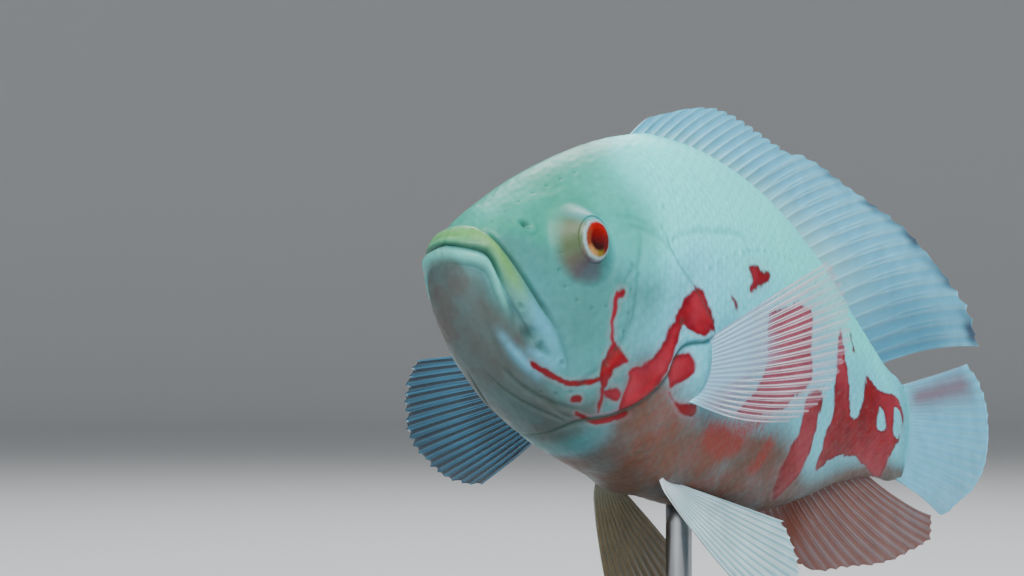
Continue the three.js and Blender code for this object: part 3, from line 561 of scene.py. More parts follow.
def smooth_line(points, closed=False, steps=5):
    """A uniform Catmull-Rom line through the points."""
    p = np.array(points, float)
    spans = len(p) if closed else len(p) - 1
    t = np.linspace(0, 1, steps, endpoint=False)[:, None]
    line = []
    for i in range(spans):
        if closed:
            a, b, c, d = p[(np.arange(i - 1, i + 3)) % len(p)]
        else:
            a, b, c, d = p[np.clip(np.arange(i - 1, i + 3), 0, len(p) - 1)]
        v0, v1 = (c - a) / 2, (d - b) / 2
        line.append((2 * b - 2 * c + v0 + v1) * t**3 + (3 * c - 3 * b - 2 * v0 - v1) * t**2 + v0 * t + b)
    if not closed:
        line.append(p[-1:])
    return np.concatenate(line)


def line_field(where, line):
    """Distance from each point to a line, and how far along the line the nearest place is, 0 to 1."""
    nearest = np.full(len(where), np.inf)
    along = np.zeros(len(where))
    for i, (a, b) in enumerate(zip(line[:-1], line[1:])):
        d = b - a
        t = np.clip((where - a) @ d / max(d @ d, 1e-12), 0, 1)
        off = where - a - t[:, None] * d
        distance = np.hypot(off[:, 0], off[:, 1])
        closer = distance < nearest
        nearest[closer] = distance[closer]
        along[closer] = (i + t[closer]) / (len(line) - 1)
    return nearest, along


def inside(where, outline):
    """True for points within a closed outline."""
    x, y = where[:, 0], where[:, 1]
    odd = np.zeros(len(where), bool)
    for (ax, ay), (bx, by) in zip(outline, np.roll(outline, -1, axis=0)):
        crosses = (ay > y) != (by > y)
        if ay != by:
            odd ^= crosses & (x < (bx - ax) * (y - ay) / (by - ay) + ax)
    return odd


def on_chart(points):
    """Chart shares as millimetres."""
    return np.array(points, float) * [STANDARD_LENGTH, CHART_HEIGHT]


def near(where, line, margin):
    """The points that lie within a margin of a line's box."""
    low, high = line.min(0) - margin, line.max(0) + margin
    return np.nonzero(np.all((where > low) & (where < high), axis=1))[0]


def patch_depth(where, outline, margin=6.0):
    """Millimetres inside a closed outline, negative outside it and at most the margin."""
    line = smooth_line(outline, closed=True)
    depth = np.full(len(where), -margin)
    found = near(where, line, margin)
    distance, _ = line_field(where[found], np.concatenate([line, line[:1]]))
    depth[found] = np.where(inside(where[found], line), distance, -distance)
    return depth


def stroke_depth(where, points, start, end, margin=6.0):
    """The same for a line with a width, which tapers at both ends."""
    line = smooth_line(points)
    depth = np.full(len(where), -margin)
    found = near(where, line, margin)
    distance, along = line_field(where[found], line)
    depth[found] = mix(start, end, along) / 2 - distance
    return depth


def fade_in(share, starts):
    """Rises from 0 to 1 between two values, where fade_out() falls from 1 to 0."""
    return smooth(share, *starts)


def fade_out(share, ends):
    return 1 - smooth(share, *ends)


def lip_swell(t):
    """The round height of a lip across its width, 0 to 1."""
    return np.maximum(np.sin(math.pi * np.clip(0.12 + 0.88 * t, 0, 1)), 0) ** 0.9


def lip_relief(share, points):
    """How far the lips stand out of the plain body, and the fields of paint that go with them."""
    mouth = mouth_level(share) * STANDARD_LENGTH
    crease = crease_line(share) * STANDARD_LENGTH
    height = points[..., 2] - mouth
    across = np.abs(height) * MOUTH_SLANT
    way_up = height / np.maximum(crease - mouth, 0.5)
    upper_fade = fade_out(share, UPPER_LIP["end"])
    lower_fade = fade_out(share, LOWER_LIP["end"])
    upper = UPPER_LIP["height"] * lip_swell(way_up) * upper_fade
    lower = LOWER_LIP["height"] * lip_swell(across / LOWER_LIP["width"])
    chin = CHIN_CREASE["depth"] * bell((across - CHIN_CREASE["at"]) / CHIN_CREASE["width"])
    lip = np.where(height > 0, upper, (lower - chin) * lower_fade)
    mouth_fade = fade_out(share, MOUTH_GROOVE["end"])
    groove = MOUTH_GROOVE["depth"] * bell(across / MOUTH_GROOVE["width"]) * mouth_fade
    from_crease = (points[..., 2] - crease) * MOUTH_SLANT
    crease_fade = smooth(share, *CREASE_GROOVE["start"]) * fade_out(share, CREASE_GROOVE["end"])
    fold = CREASE_GROOVE["depth"] * bell(from_crease / CREASE_GROOVE["width"]) * crease_fade
    fields = {
        # crease: painted shade in the mouth's groove and the lips' crease
        "crease": np.maximum(
            0.7 * bell(across / 0.75) * mouth_fade, 0.8 * bell(from_crease / 0.8) * crease_fade
        ),
        "lip": bell((way_up - 0.5) / 0.42) * (height > 0) * fade_out(share, (0.05, 0.11)),
        "lower lip": bell((across - 1.9) / 1.4) * (height < 0) * lower_fade,
        "lips": bell(height / 7) * upper_fade,
    }
    return lip - groove - fold, fields


def snout_inset(share, points):
    """How far the upper lip and the snout's tip are set back behind the lower lip."""
    height = points[..., 2] - mouth_level(share) * STANDARD_LENGTH
    fade = fade_out(share, (0, UPPER_LIP["inset_end"]))
    return UPPER_LIP["inset"] * smooth(height, 0, UPPER_LIP["inset_height"]) * fade


class SkinGrid:
    """The skin's points row by row, with the fields that its relief and its paint come from."""

    def __init__(self):
        half = COLUMNS // 2
        share = np.linspace(FIRST_ROOT, 1, SECTIONS) ** 2
        turn = np.arange(COLUMNS) / half
        down = np.where(turn <= 1, turn, 2 - turn)
        angle = math.pi * down + FLANK_DENSITY * np.sin(2 * math.pi * down)
        self.side = np.where(turn <= 1, LEFT, RIGHT)
        self.share, self.angle = np.meshgrid(share, angle, indexing="ij")
        self.down = self.angle / math.pi
        self.plain = body_point(self.share, self.angle, self.side[None, :])
        along = np.gradient(self.plain, axis=0)
        around = np.roll(self.plain, -1, axis=1) - np.roll(self.plain, 1, axis=1)
        self.normal = unit(np.cross(around, along))
        self.arc = self.arc_from_flank()
        self.chart = np.stack([self.share * STANDARD_LENGTH, self.down * CHART_HEIGHT], -1)
        x = self.plain[..., 0]
        self.brushed = np.stack([self.arc * 0.22 - x * 0.09, x + self.arc * 0.2], -1)  # long down the flank
        self.paint = {}

    def arc_from_flank(self):
        """Millimetres round the section from the flank's middle, on each side."""
        step = np.linalg.norm(np.diff(self.plain, axis=1, append=self.plain[:, :1]), axis=-1)
        run = np.cumsum(step, axis=1) - step
        half = COLUMNS // 2
        left_middle = run[:, half // 2][:, None]
        right_middle = run[:, half + half // 2][:, None]
        return np.where(self.side[None, :] == LEFT, run - left_middle, right_middle - run)

    def wandered_chart(self):
        """The chart with the small wander that marks' edges follow, and the right side's own larger one."""
        points = self.plain
        wander = np.stack([waves(points, 7, 11), waves(points, 7, 12)], -1) * 0.35
        wander += np.stack([waves(points, 2.6, 13), waves(points, 2.6, 14)], -1) * 0.2
        own = np.stack([waves(points, 46, 15), waves(points, 46, 16)], -1) * RIGHT_SIDE_WANDER
        own += np.stack([waves(points, 17, 17), waves(points, 17, 18)], -1) * 1.2
        return self.chart + wander + np.where(self.side[None, :, None] == RIGHT, own, 0)

    def mark_fields(self):
        """Depth in millimetres inside the red marks, positive within one."""
        where = self.wandered_chart().reshape(-1, 2)
        depth = np.full(len(where), -6.0)
        for outline in RED_PATCHES.values():
            depth = np.maximum(depth, patch_depth(where, on_chart(outline)))
        for points, start, end in RED_STROKES:
            depth = np.maximum(depth, stroke_depth(where, on_chart(points), start, end))
        for outline in PALE_HOLES:
            depth = np.minimum(depth, -patch_depth(where, on_chart(outline)))
        depth = depth.reshape(self.share.shape)
        frayed = mix(0.1, 0.35, smooth(self.share, 0.52, 0.6))
        return depth + frayed * waves(self.brushed, 1.6, 19) * smooth(depth, -3, -0.5)

    def scale_relief(self):
        """Overlapping round scales from 0 to 1, each rising to its rear edge."""
        size = SCALE_SPACING * mix(1, 0.62, smooth(self.share, 0.6, 1))
        along = self.share[:, 0] * STANDARD_LENGTH
        a = np.cumsum(np.gradient(along) / size[:, 0])[:, None] + 0.06 * waves(self.plain, 30, 21)
        b = self.arc / size + 0.06 * waves(self.plain, 30, 22)
        first = np.ceil(2 * (a - SCALE_REACH)).astype(int)
        height = np.zeros(a.shape)
        found = np.zeros(a.shape, bool)
        for step in range(3):
            column = first + step
            offset = (column % 2) * 0.5
            row = np.round(b - offset) + offset
            back_from = a - column * 0.5
            holds = (back_from**2 + (b - row) ** 2 < SCALE_REACH**2) & ~found
            rise = (back_from + SCALE_REACH) / (2 * SCALE_REACH) - 0.25 * ((b - row) / SCALE_REACH) ** 2
            height = np.where(holds, rise, height)
            found |= holds
        return height

    def relief(self, finish):
        """Every form of the skin as a distance along its normal, with paint fields kept on the way."""
        share, points, down = self.share, self.plain, self.down
        offset, lip_fields = lip_relief(share, points)
        self.paint.update(lip_fields)
        side_view = points[..., [0, 2]].reshape(-1, 2)
        offset = offset + self.folds() + self.pits() + self.pores() + self.nostrils(side_view)
        offset = offset + self.gill_cover(side_view) + self.fin_roots() + self.lateral_lines()

        cover = fade_in(share, SCALED["cover_starts"]) * fade_in(down, SCALED["below"])
        cover = cover * fade_out(down, SCALED["above"])
        scaled = np.maximum(fade_in(share, SCALED["starts"]), 0.55 * cover)
        scaled = scaled * (1 - 0.6 * smooth(share, 0.95, 1))
        scales = self.scale_relief()
        # The scale's height also drives painted shade and highlight in the skin's colour
        self.paint["scale"] = scales * scaled
        offset = offset + finish.scale_height * 1000 * (scales - 0.5) * scaled
        # Broad unevenness, wrinkles of the lips and a fine grain
        offset = offset + 0.16 * waves(points, 26, 31) * smooth(share, 0.02, 0.12)
        offset = offset + 0.04 * self.paint["lips"] * waves(points * [1, 3, 0.5], 3.2, 32)
        return offset + 0.035 * waves(points, 2.1, 33)

    def near_line(self, line, width, fade):
        """Nearness to a line on the chart, 1 on it, fading out at both its ends."""
        curve = smooth_line(on_chart(line))
        flat = self.chart.reshape(-1, 2)
        found = near(flat, curve, 3 * width)
        distance, along = line_field(flat[found], curve)
        field = np.zeros(len(flat))
        field[found] = bell(distance / width) * np.sin(math.pi * np.clip(along, fade, 1 - fade)) ** 0.5
        return field.reshape(self.share.shape)

    def folds(self):
        """Folds and grooves, and the pale ridges behind the mouth's corner."""
        offset = 0
        for line, depth, width in FOLDS:
            fold = self.near_line(line, width, 0.03)
            offset = offset - depth * fold
            # Painted shade in each groove
            self.add_paint("crease", fold * np.clip(depth, 0, 0.8) * 0.55)
        for line, height, width in PALE_RIDGES:
            ridge = self.near_line(line, width, 0.1)
            offset = offset + height * ridge
            # Painted highlight on the ridge
            self.add_paint("ridge", ridge)
        return offset

    def pits(self):
        """Round pits, each with a faint rim."""
        offset = 0
        for share, down, depth, radius in PITS:
            distance = np.linalg.norm(self.chart - on_chart((share, down)), axis=-1)
            pit = bell(distance / radius)
            offset = offset - depth * pit + 0.3 * depth * bell((distance - 1.9 * radius) / (0.6 * radius))
            # Painted shade in each pit
            self.add_paint("crease", pit * min(depth, 0.7) * 0.7)
        return offset

    def pores(self):
        """Rows of evenly spaced pores on the head."""
        flat = self.chart.reshape(-1, 2)
        offset = 0
        for line in PORE_LINES:
            curve = smooth_line(on_chart(line), steps=12)
            run = np.concatenate([[0], np.cumsum(np.linalg.norm(np.diff(curve, axis=0), axis=1))])
            for stop in np.arange(0.5, run[-1], PORE_SPACING):
                centre = np.array([np.interp(stop, run, curve[:, 0]), np.interp(stop, run, curve[:, 1])])
                found = near(flat, centre[None, :], 3)
                pore = np.zeros(len(flat))
                pore[found] = bell(np.linalg.norm(flat[found] - centre, axis=1) / PORE["radius"])
                pore = pore.reshape(self.share.shape)
                offset = offset - PORE["depth"] * pore
                # Painted shade in each pore
                self.add_paint("crease", pore * 0.35)
        return offset

    def nostrils(self, side_view):
        """One long nostril on each side, with a low rim."""
        middle = point_at_level(NOSTRIL_AT, 1)[[0, 2]]
        distance = np.linalg.norm((side_view - middle) * [0.62, 1], axis=1).reshape(self.share.shape)
        # Painted shade in the nostril
        self.add_paint("crease", bell(distance / (NOSTRIL_RADIUS * 0.8)) * 0.6)
        rim = 0.25 * bell((distance - NOSTRIL_RADIUS * 1.5) / 0.7)
        return rim - 1.1 * bell(distance / (NOSTRIL_RADIUS * 0.6))

    def add_paint(self, name, field):
        self.paint[name] = np.clip(self.paint.get(name, 0) + field, 0, 1)

    def gill_cover(self, side_view):
        """The cover's plate, proud of the flank, with its sharp rear edge and the groove behind it."""
        shape = self.share.shape
        edge = smooth_line(GILL_EDGE) * STANDARD_LENGTH
        front = smooth_line(COVER_FRONT) * STANDARD_LENGTH
        far = 0.4 * STANDARD_LENGTH
        ahead = inside(side_view, np.concatenate([edge, [(-far, -far)], [(-far, far)]])).reshape(shape)
        from_edge = line_field(side_view, edge)[0].reshape(shape)
        from_front = line_field(side_view, front)[0].reshape(shape)
        signed = np.where(ahead, -from_edge, from_edge)
        level = self.plain[..., 2] / STANDARD_LENGTH
        span = smooth(level, COVER_BOTTOM - 0.03, COVER_BOTTOM + 0.03) * (
            1 - smooth(level, COVER_TOP - 0.035, COVER_TOP + 0.005)
        )
        plateau = 1 - smooth(signed, -0.35, 0.45)
        fading = 1 - smooth(from_edge, 10, 26)
        lift = COVER_PROUD * plateau * fading * span
        rim = COVER_RIM["height"] * bell((signed - COVER_RIM["at"]) / COVER_RIM["width"]) * span
        below = 1 - smooth(level, COVER_TOP - 0.03, COVER_TOP + 0.01)
        groove = COVER_GROOVE["depth"] * bell((signed - COVER_GROOVE["at"]) / COVER_GROOVE["width"]) * below
        front_groove = COVER_FRONT_GROOVE["depth"] * bell(from_front / COVER_FRONT_GROOVE["width"]) * span
        # Painted shadow under the cover's rear edge, and painted shade in its front groove
        self.add_paint("crease", bell((signed - 0.75) / 0.6) * below * 0.75)
        self.add_paint("crease", bell(from_front / 1.2) * span * 0.12)
        self.paint["gill rim"] = bell((signed + 0.5) / 0.55) * span * smooth(-level, 0.03, 0.07)
        return lift + rim - groove - front_groove

    def fin_roots(self):
        """Low swellings where the fins leave the body."""
        x, y, z = np.moveaxis(self.plain, -1, 0)
        swell = 0
        for fin, top in ((DORSAL, True), (ANAL, False)):
            half = self.down < 0.5 if top else self.down > 0.5
            run = smooth(self.share, fin["from"] - 0.02, fin["from"] + 0.03) * (
                1 - smooth(self.share, fin["to"] - 0.02, fin["to"] + 0.03)
            )
            swell = swell + np.where(half, 0.8 * bell(y / 3.2) * run, 0)
        for fin, ahead, long, high, rise in FIN_PADS:
            for side in (LEFT, RIGHT):
                root = point_at_level(fin["at"], side)
                away = bell((x - root[0] + ahead) / long) * bell((z - root[2]) / high)
                swell = swell + np.where(self.side[None, :] == side, rise * away, 0)
        return swell

    def lateral_lines(self):
        """The raised tubes of the lateral line, one to a scale."""
        flat = self.chart.reshape(-1, 2)
        ridge = np.zeros(len(flat))
        dash = np.zeros(len(flat))
        for line in LATERAL_LINES:
            curve = smooth_line(on_chart(line))
            found = near(flat, curve, 3)
            distance, _ = line_field(flat[found], curve)
            beat = 0.5 + 0.5 * np.sin(flat[found, 0] * (2 * math.pi / SCALE_SPACING))
            ridge[found] = np.maximum(ridge[found], bell(distance / 0.8) * smooth(beat, 0.2, 0.6))
            dash[found] = np.maximum(dash[found], bell(distance / 0.4) * smooth(beat, 0.55, 0.95))
        # Painted shade in the lateral line's pores
        self.add_paint("crease", dash.reshape(self.share.shape) * 0.3)
        return 0.14 * ridge.reshape(self.share.shape)

    def eye_rings(self, points):
        """Presses the skin under each eyeball and raises a collar round it."""
        for side in (LEFT, RIGHT):
            ball, sight = eye_place(side)
            away = points - point_at_level(EYE_AT, side)
            rise = away @ sight
            flat = away - rise[..., None] * sight
            distance = np.linalg.norm(flat, axis=-1)
            from_ball = np.linalg.norm(np.cross(points - ball, sight), axis=-1)
            out = mix(from_ball, distance, smooth(from_ball, COLLAR["inner"], COLLAR["outer"]))
            slope = (COLLAR["outer"] - out) / (COLLAR["outer"] - COLLAR["inner"])
            collar = COLLAR["height"] * np.clip(slope, 0, 1.1) ** 1.35
            well = -COLLAR["well"] * (1 - smooth(from_ball, COLLAR["inner"] - 1.5, COLLAR["inner"]))
            level = 1 - smooth(out, COLLAR["inner"] - 0.5, COLLAR["outer"] + 1.5)
            moved = np.where(self.side[None, :] == side, collar + well - level * rise, 0)
            points = points + moved[..., None] * sight
            # The collar takes the eye's colours: olive and umber skin, with painted shade, shadow and
            # highlight
            facing = unit(flat)
            around = fade_out(distance, COLLAR["shades_end"]) * (self.side[None, :] == side)
            for name, zone in eye_zones(-facing[..., 0], facing[..., 2]).items():
                self.add_paint(name, around * zone)
        return points

    def tail_fringe(self, points):
        """Draws the body's end out over the tail's root in a thin round-ended fringe."""
        far = smooth(self.share, TAIL_FRINGE["start"], 1)
        level = points[..., 2] / STANDARD_LENGTH - TAIL_LEVEL
        points[..., 0] += TAIL_FRINGE["reach"] * far * (1 - (level / TAIL_FRINGE["half_height"]) ** 2)
        points[..., 1] *= 1 - TAIL_FRINGE["thinner"] * far
        points[..., 2] -= TAIL_FRINGE["lower"] * far * level * STANDARD_LENGTH

    def paint_fields(self):
        """Soft regions of colour, and the marks."""
        share, down, points = self.share, self.down, self.plain
        depth = self.mark_fields()
        self.paint["red"] = smooth(depth, -0.5, 0.35)
        self.paint["crimson"] = bell((depth - 0.4) / 0.8) * 0.5
        self.paint["halo"] = bell((depth + 0.7) / 0.6)
        cloud = 0.06 * waves(points, 40, 41)
        cloudy, cloudy_down = share + cloud, down + cloud
        self.paint["brow"] = fade_out(cloudy, BROW["ends"]) * fade_out(cloudy_down, BROW["above"])
        self.paint["cheek"] = fade_out(cloudy, CHEEK["ends"]) * fade_in(cloudy_down, CHEEK["below"])
        cover = fade_in(cloudy, COVER["starts"]) * fade_out(cloudy, COVER["ends"])
        self.paint["cover"] = cover * fade_in(cloudy_down, COVER["below"])
        # The chin: its own grey, with painted shade of the underside
        under_mouth = mouth_level(share) * STANDARD_LENGTH - points[..., 2]
        front = fade_out(share, CHIN["front_ends"]) * fade_in(under_mouth, CHIN["under_mouth"])
        chin = fade_in(cloudy_down, CHIN["below"]) * fade_out(cloudy, CHIN["ends"])
        self.paint["chin"] = np.maximum(chin, front * 0.9)
        blotch = smooth(waves(points, 15, 42) + 0.6 * waves(points, 6, 43), 0.4, 1.5)
        self.paint["mottle"] = self.paint["chin"] * blotch
        # The belly: its own grey-brown, with painted shade of the underside
        rear = fade_in(share, DARK_AND_SHADED_BELLY["rear"])
        first, full = (
            mix(*ends, rear) for ends in zip(DARK_AND_SHADED_BELLY["below"], DARK_AND_SHADED_BELLY["below_at_rear"])
        )
        self.paint["belly"] = smooth(cloudy_down, first, full) * fade_in(cloudy, DARK_AND_SHADED_BELLY["starts"])
        self.paint["flank"] = np.maximum(
            fade_in(cloudy_down, FLANK["below"]), fade_in(share, FLANK["tail_starts"])
        )
        wash = fade_in(share, WASH["starts"]) * fade_out(share, WASH["ends"])
        wash *= fade_in(down, WASH["below"]) * fade_out(down, WASH["above"])
        streaks = waves(self.brushed, 1.8, 44) + 0.8 * waves(points, 15, 45)
        self.paint["wash"] = wash * smooth(streaks, -1.8, 1.8) * 0.55
        where = self.wandered_chart().reshape(-1, 2)
        patches = np.max([patch_depth(where, on_chart(outline)) for outline in BELLY_PATCHES], axis=0)
        patches = patches.reshape(share.shape) + 0.9 * waves(self.brushed, 1.7, 46)
        self.paint["orange"] = 0.85 * smooth(patches, -2.6, 2.6)


def eye_place(side):
    """The middle of an eyeball, and its line of sight."""
    outwards = side * math.cos(EYE_BACK_TILT) * math.cos(EYE_UP_TILT)
    sight = np.array([math.sin(EYE_BACK_TILT), outwards, math.sin(EYE_UP_TILT)])
    return point_at_level(EYE_AT, side) + [0, 0, EYE_LIFT], unit(sight)


def eye_zones(ahead, up):
    """The colours round an eye, from how far a place lies to the front of the iris and above it: olive skin,
    umber skin with painted shade, a painted shadow below and a painted highlight above that is painted shade
    on the collar's lit slope.
    """
    level = (1 - 0.6 * smooth(up, 0.75, 1)) * (1 - 0.7 * smooth(-up, 0.35, 0.9))
    return {
        "olive": smooth(ahead, 0.0, 0.7) * level,
        # umber skin with painted shade on the eye's lower front
        "umber_and_shade": 0.8 * smooth(ahead, -0.1, 0.35) * smooth(-up, 0.3, 0.75),
        # painted shadow below the eye
        "shadow_below_eye": 0.75 * smooth(-up, 0.55, 0.98) * (1 - 0.5 * smooth(ahead, 0.2, 0.7)),
        # painted highlight above the eye, and painted shade on the collar's lit top slope
        "top_highlight_and_shade": 0.85 * smooth(up, 0.4, 0.9) * (1 - 0.5 * smooth(-ahead, 0.2, 0.8)),
    }


def new_piece(name, points, faces, material, replaced, fields=None, chart=None):
    """One mesh object in the row frame, riding on the root body."""
    mesh = bpy.data.meshes.new(name)
    mesh.from_pydata(np.asarray(points, np.float32), [], faces)
    for field, values in (fields or {}).items():
        layer = mesh.attributes.new(field, "FLOAT", "POINT")
        layer.data.foreach_set("value", np.asarray(values, np.float32).ravel())
    if chart is not None:
        corners = np.zeros(len(mesh.loops), np.int32)
        mesh.loops.foreach_get("vertex_index", corners)
        layer = mesh.uv_layers.new(name="OFBake")
        layer.data.foreach_set("uv", np.asarray(chart, np.float32)[corners].ravel())
    mesh.shade_smooth()
    mesh.materials.append(material)
    if mesh.validate(verbose=False):
        raise RuntimeError(f"{name} has faces that Blender can't keep")
    piece = bpy.data.objects.new(name, mesh)
    bpy.context.scene.collection.objects.link(piece)
    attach(piece, "root")
    if replaced:
        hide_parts(*replaced)
    return piece


def grid_faces(rows, columns, first=0, closed=False, flip=False):
    """Quads of a grid of points, row by row."""
    across = columns if closed else columns - 1
    i, k = np.meshgrid(np.arange(rows - 1), np.arange(across), indexing="ij")
    a = first + i * columns + k
    b = first + i * columns + (k + 1) % columns
    quads = np.stack([a, b, b + columns, a + columns], -1).reshape(-1, 4)
    return quads[:, ::-1] if flip else quads


class Shader:
    """A material's nodes, joined by short calls."""

    def __init__(self, name):
        self.material = bpy.data.materials.new(name)
        self.material.use_nodes = True
        self.nodes = self.material.node_tree.nodes
        self.links = self.material.node_tree.links
        self.surface = self.nodes["Principled BSDF"]

    def put(self, socket, value):
        if isinstance(value, bpy.types.NodeSocket):
            self.links.new(value, socket)
        elif socket.type == "RGBA" and len(value) == 3:
            socket.default_value = (*value, 1)
        else:
            socket.default_value = value

    def set(self, **values):
        for name, value in values.items():
            self.put(self.surface.inputs[name.replace("_", " ")], value)

    def field(self, name):
        node = self.nodes.new("ShaderNodeAttribute")
        node.attribute_name = name
        return node.outputs["Fac"]

    def where(self):
        return self.nodes.new("ShaderNodeTexCoord").outputs["Object"]

    def stretched(self, scale):
        node = self.nodes.new("ShaderNodeMapping")
        self.put(node.inputs["Vector"], self.where())
        node.inputs["Scale"].default_value = scale
        return node.outputs["Vector"]

    def noise(self, scale, detail=3.0, rough=0.5, vector=None):
        node = self.nodes.new("ShaderNodeTexNoise")
        self.put(node.inputs["Vector"], vector or self.where())
        node.inputs["Scale"].default_value = scale
        node.inputs["Detail"].default_value = detail
        node.inputs["Roughness"].default_value = rough
        return node.outputs["Fac"]

    def cells(self, scale):
        node = self.nodes.new("ShaderNodeTexVoronoi")
        self.put(node.inputs["Vector"], self.where())
        node.inputs["Scale"].default_value = scale
        return node.outputs["Distance"]

    def math(self, kind, a, b=0.0):
        node = self.nodes.new("ShaderNodeMath")
        node.operation = kind
        self.put(node.inputs[0], a)
        self.put(node.inputs[1], b)
        return node.outputs[0]

    def times(self, a, b):
        return self.math("MULTIPLY", a, b)

    def spread(self, value, low, high, to_low=0.0, to_high=1.0):
        node = self.nodes.new("ShaderNodeMapRange")
        for name, given in (
            ("Value", value), ("From Min", low), ("From Max", high), ("To Min", to_low), ("To Max", to_high)
        ):
            self.put(node.inputs[name], given)
        return node.outputs["Result"]

    def blend(self, factor, a, b, kind="MIX"):
        node = self.nodes.new("ShaderNodeMix")
        node.data_type = "RGBA"  # the colour sockets are numbers 6 and 7, and the output is number 2
        node.blend_type = kind
        self.put(node.inputs["Factor"], factor)
        self.put(node.inputs[6], a)
        self.put(node.inputs[7], b)
        return node.outputs[2]

    def tinted(self, colour, field, strength, shade):
        """The colour with a shade laid over it where a field is high."""
        return self.blend(self.times(self.field(field), strength), colour, shade)

    def eye_shades(self, colour, skin):
        """The colours round an eye, with its painted shadow, shade and highlight, which run from its collar
        onto the ball.
        """
        for name in ("olive", "umber_and_shade", "shadow_below_eye", "top_highlight_and_shade"):
            colour = self.blend(self.field(name), colour, getattr(skin, name))
        return colour

    def bump(self, height, strength, distance, normal=None):
        node = self.nodes.new("ShaderNodeBump")
        self.put(node.inputs["Height"], height)
        node.inputs["Strength"].default_value = strength
        node.inputs["Distance"].default_value = distance
        if normal is not None:
            self.put(node.inputs["Normal"], normal)
        return node.outputs["Normal"]


def skin_material(finish):
    shader = Shader("oscar_skin")
    patchy = shader.spread(shader.noise(60, 4), 0.35, 0.65, 0.84, 1.0)
    colour = shader.blend(shader.field("flank"), finish.back, finish.flank)
    for field, shade, most in (
        ("brow", finish.brow, 0.9), ("cheek", finish.cheek, 0.9), ("cover", finish.cover, 0.7),
        # chin and belly: their own greys with painted shade of the underside
        ("chin", finish.chin, 0.9), ("mottle", finish.mottle, 0.3), ("belly", finish.belly, 1.05),
        # ridge: painted highlight on the pale ridges behind the mouth
        ("ridge", finish.ridge, 0.8), ("lip", finish.lip, 0.85), ("lower lip", finish.lower_lip, 0.8),
        ("gill rim", finish.halo, 0.6),
    ):
        amount = shader.times(shader.field(field), most)
        colour = shader.blend(shader.times(amount, patchy), colour, shade)
    # The eye's colours on the collar, with painted shade, shadow and highlight
    colour = shader.eye_shades(colour, finish)
    grain = shader.spread(shader.noise(420, 4, 0.6), 0.3, 0.7, 0.9, 1.06)
    colour = shader.blend(1.0, colour, grain, "MULTIPLY")
    # Painted shade low on each scale and a painted highlight at its raised rear edge
    scale_shade_and_highlight = shader.spread(shader.field("scale"), 0.3, 0.95, 0.86, 1.2)
    colour = shader.blend(1.0, colour, scale_shade_and_highlight, "MULTIPLY")
    flecks = shader.spread(shader.noise(900, 3, 0.7), 0.4, 0.7, 0.5, 1.0)
    colour = shader.tinted(colour, "wash", flecks, finish.wash)
    colour = shader.tinted(colour, "orange", flecks, finish.orange)
    colour = shader.tinted(colour, "halo", 0.12, finish.halo)
    depth = shader.spread(shader.noise(160, 5, 0.6), 0.35, 0.68)
    red = shader.blend(shader.times(depth, 0.65), finish.red, finish.crimson)
    red = shader.blend(shader.spread(shader.noise(48, 4), 0.42, 0.68, 0.0, 0.7), red, finish.rose)
    red = shader.blend(shader.field("crimson"), red, finish.crimson)
    colour = shader.blend(shader.field("red"), colour, red)
    # Painted shade in folds, grooves, pits, pores and the nostrils
    colour = shader.blend(shader.field("crease"), colour, finish.crease)
    rough = shader.spread(shader.noise(240, 3), 0.3, 0.7, finish.roughness - 0.06, finish.roughness + 0.1)
    pores = shader.bump(shader.cells(1500), 0.12, 0.0002)
    fine = shader.bump(shader.noise(2600, 3, 0.6), 0.12, 0.0002, pores)
    shader.set(Base_Color=colour, Roughness=rough, Normal=fine)
    shader.set(Subsurface_Weight=0.12, Subsurface_Radius=(0.7, 0.45, 0.35), Subsurface_Scale=0.003)
    shader.set(Coat_Weight=finish.coat, Coat_Roughness=0.3, Specular_IOR_Level=0.25)
    return shader.material


def fin_material(name, ray, web, alpha=1.0, tints=()):
    """Rays paler than the web; tints are (field, colour, strength)."""
    shader = Shader(name)
    ridge = shader.field("ray")
    varied = shader.spread(shader.noise(140, 4), 0.3, 0.7, 0.88, 1.08)
    colour = shader.blend(ridge, web, ray)
    colour = shader.blend(1.0, colour, varied, "MULTIPLY")
    for field, shade, strength in tints:
        colour = shader.tinted(colour, field, strength, shade)
    joints = shader.math("SINE", shader.times(shader.field("run"), 2 * math.pi / RAY_JOINT))
    joints = shader.times(shader.spread(joints, 0.6, 1.0), ridge)
    joint_bump = shader.bump(joints, 0.25, 0.0002)
    fine = shader.bump(shader.noise(1800, 3, 0.6), 0.1, 0.0002, joint_bump)
    shader.set(Base_Color=colour, Normal=fine)
    shader.set(Roughness=shader.spread(shader.noise(300), 0.3, 0.7, 0.3, 0.46))
    shader.set(Subsurface_Weight=0.15, Subsurface_Radius=(0.8, 0.6, 0.5), Subsurface_Scale=0.0015)
    shader.set(Coat_Weight=0.2, Coat_Roughness=0.15)
    if alpha < 1:
        solid = shader.math("MAXIMUM", shader.field("pale"), shader.spread(ridge, 0.1, 0.9, 0.0, 0.58))
        solid = shader.times(solid, shader.spread(shader.field("faint"), 0.0, 1.0, 1.0, 0.5))
        shader.set(Alpha=shader.spread(solid, 0.0, 1.0, alpha, 1.0))
    return shader.material


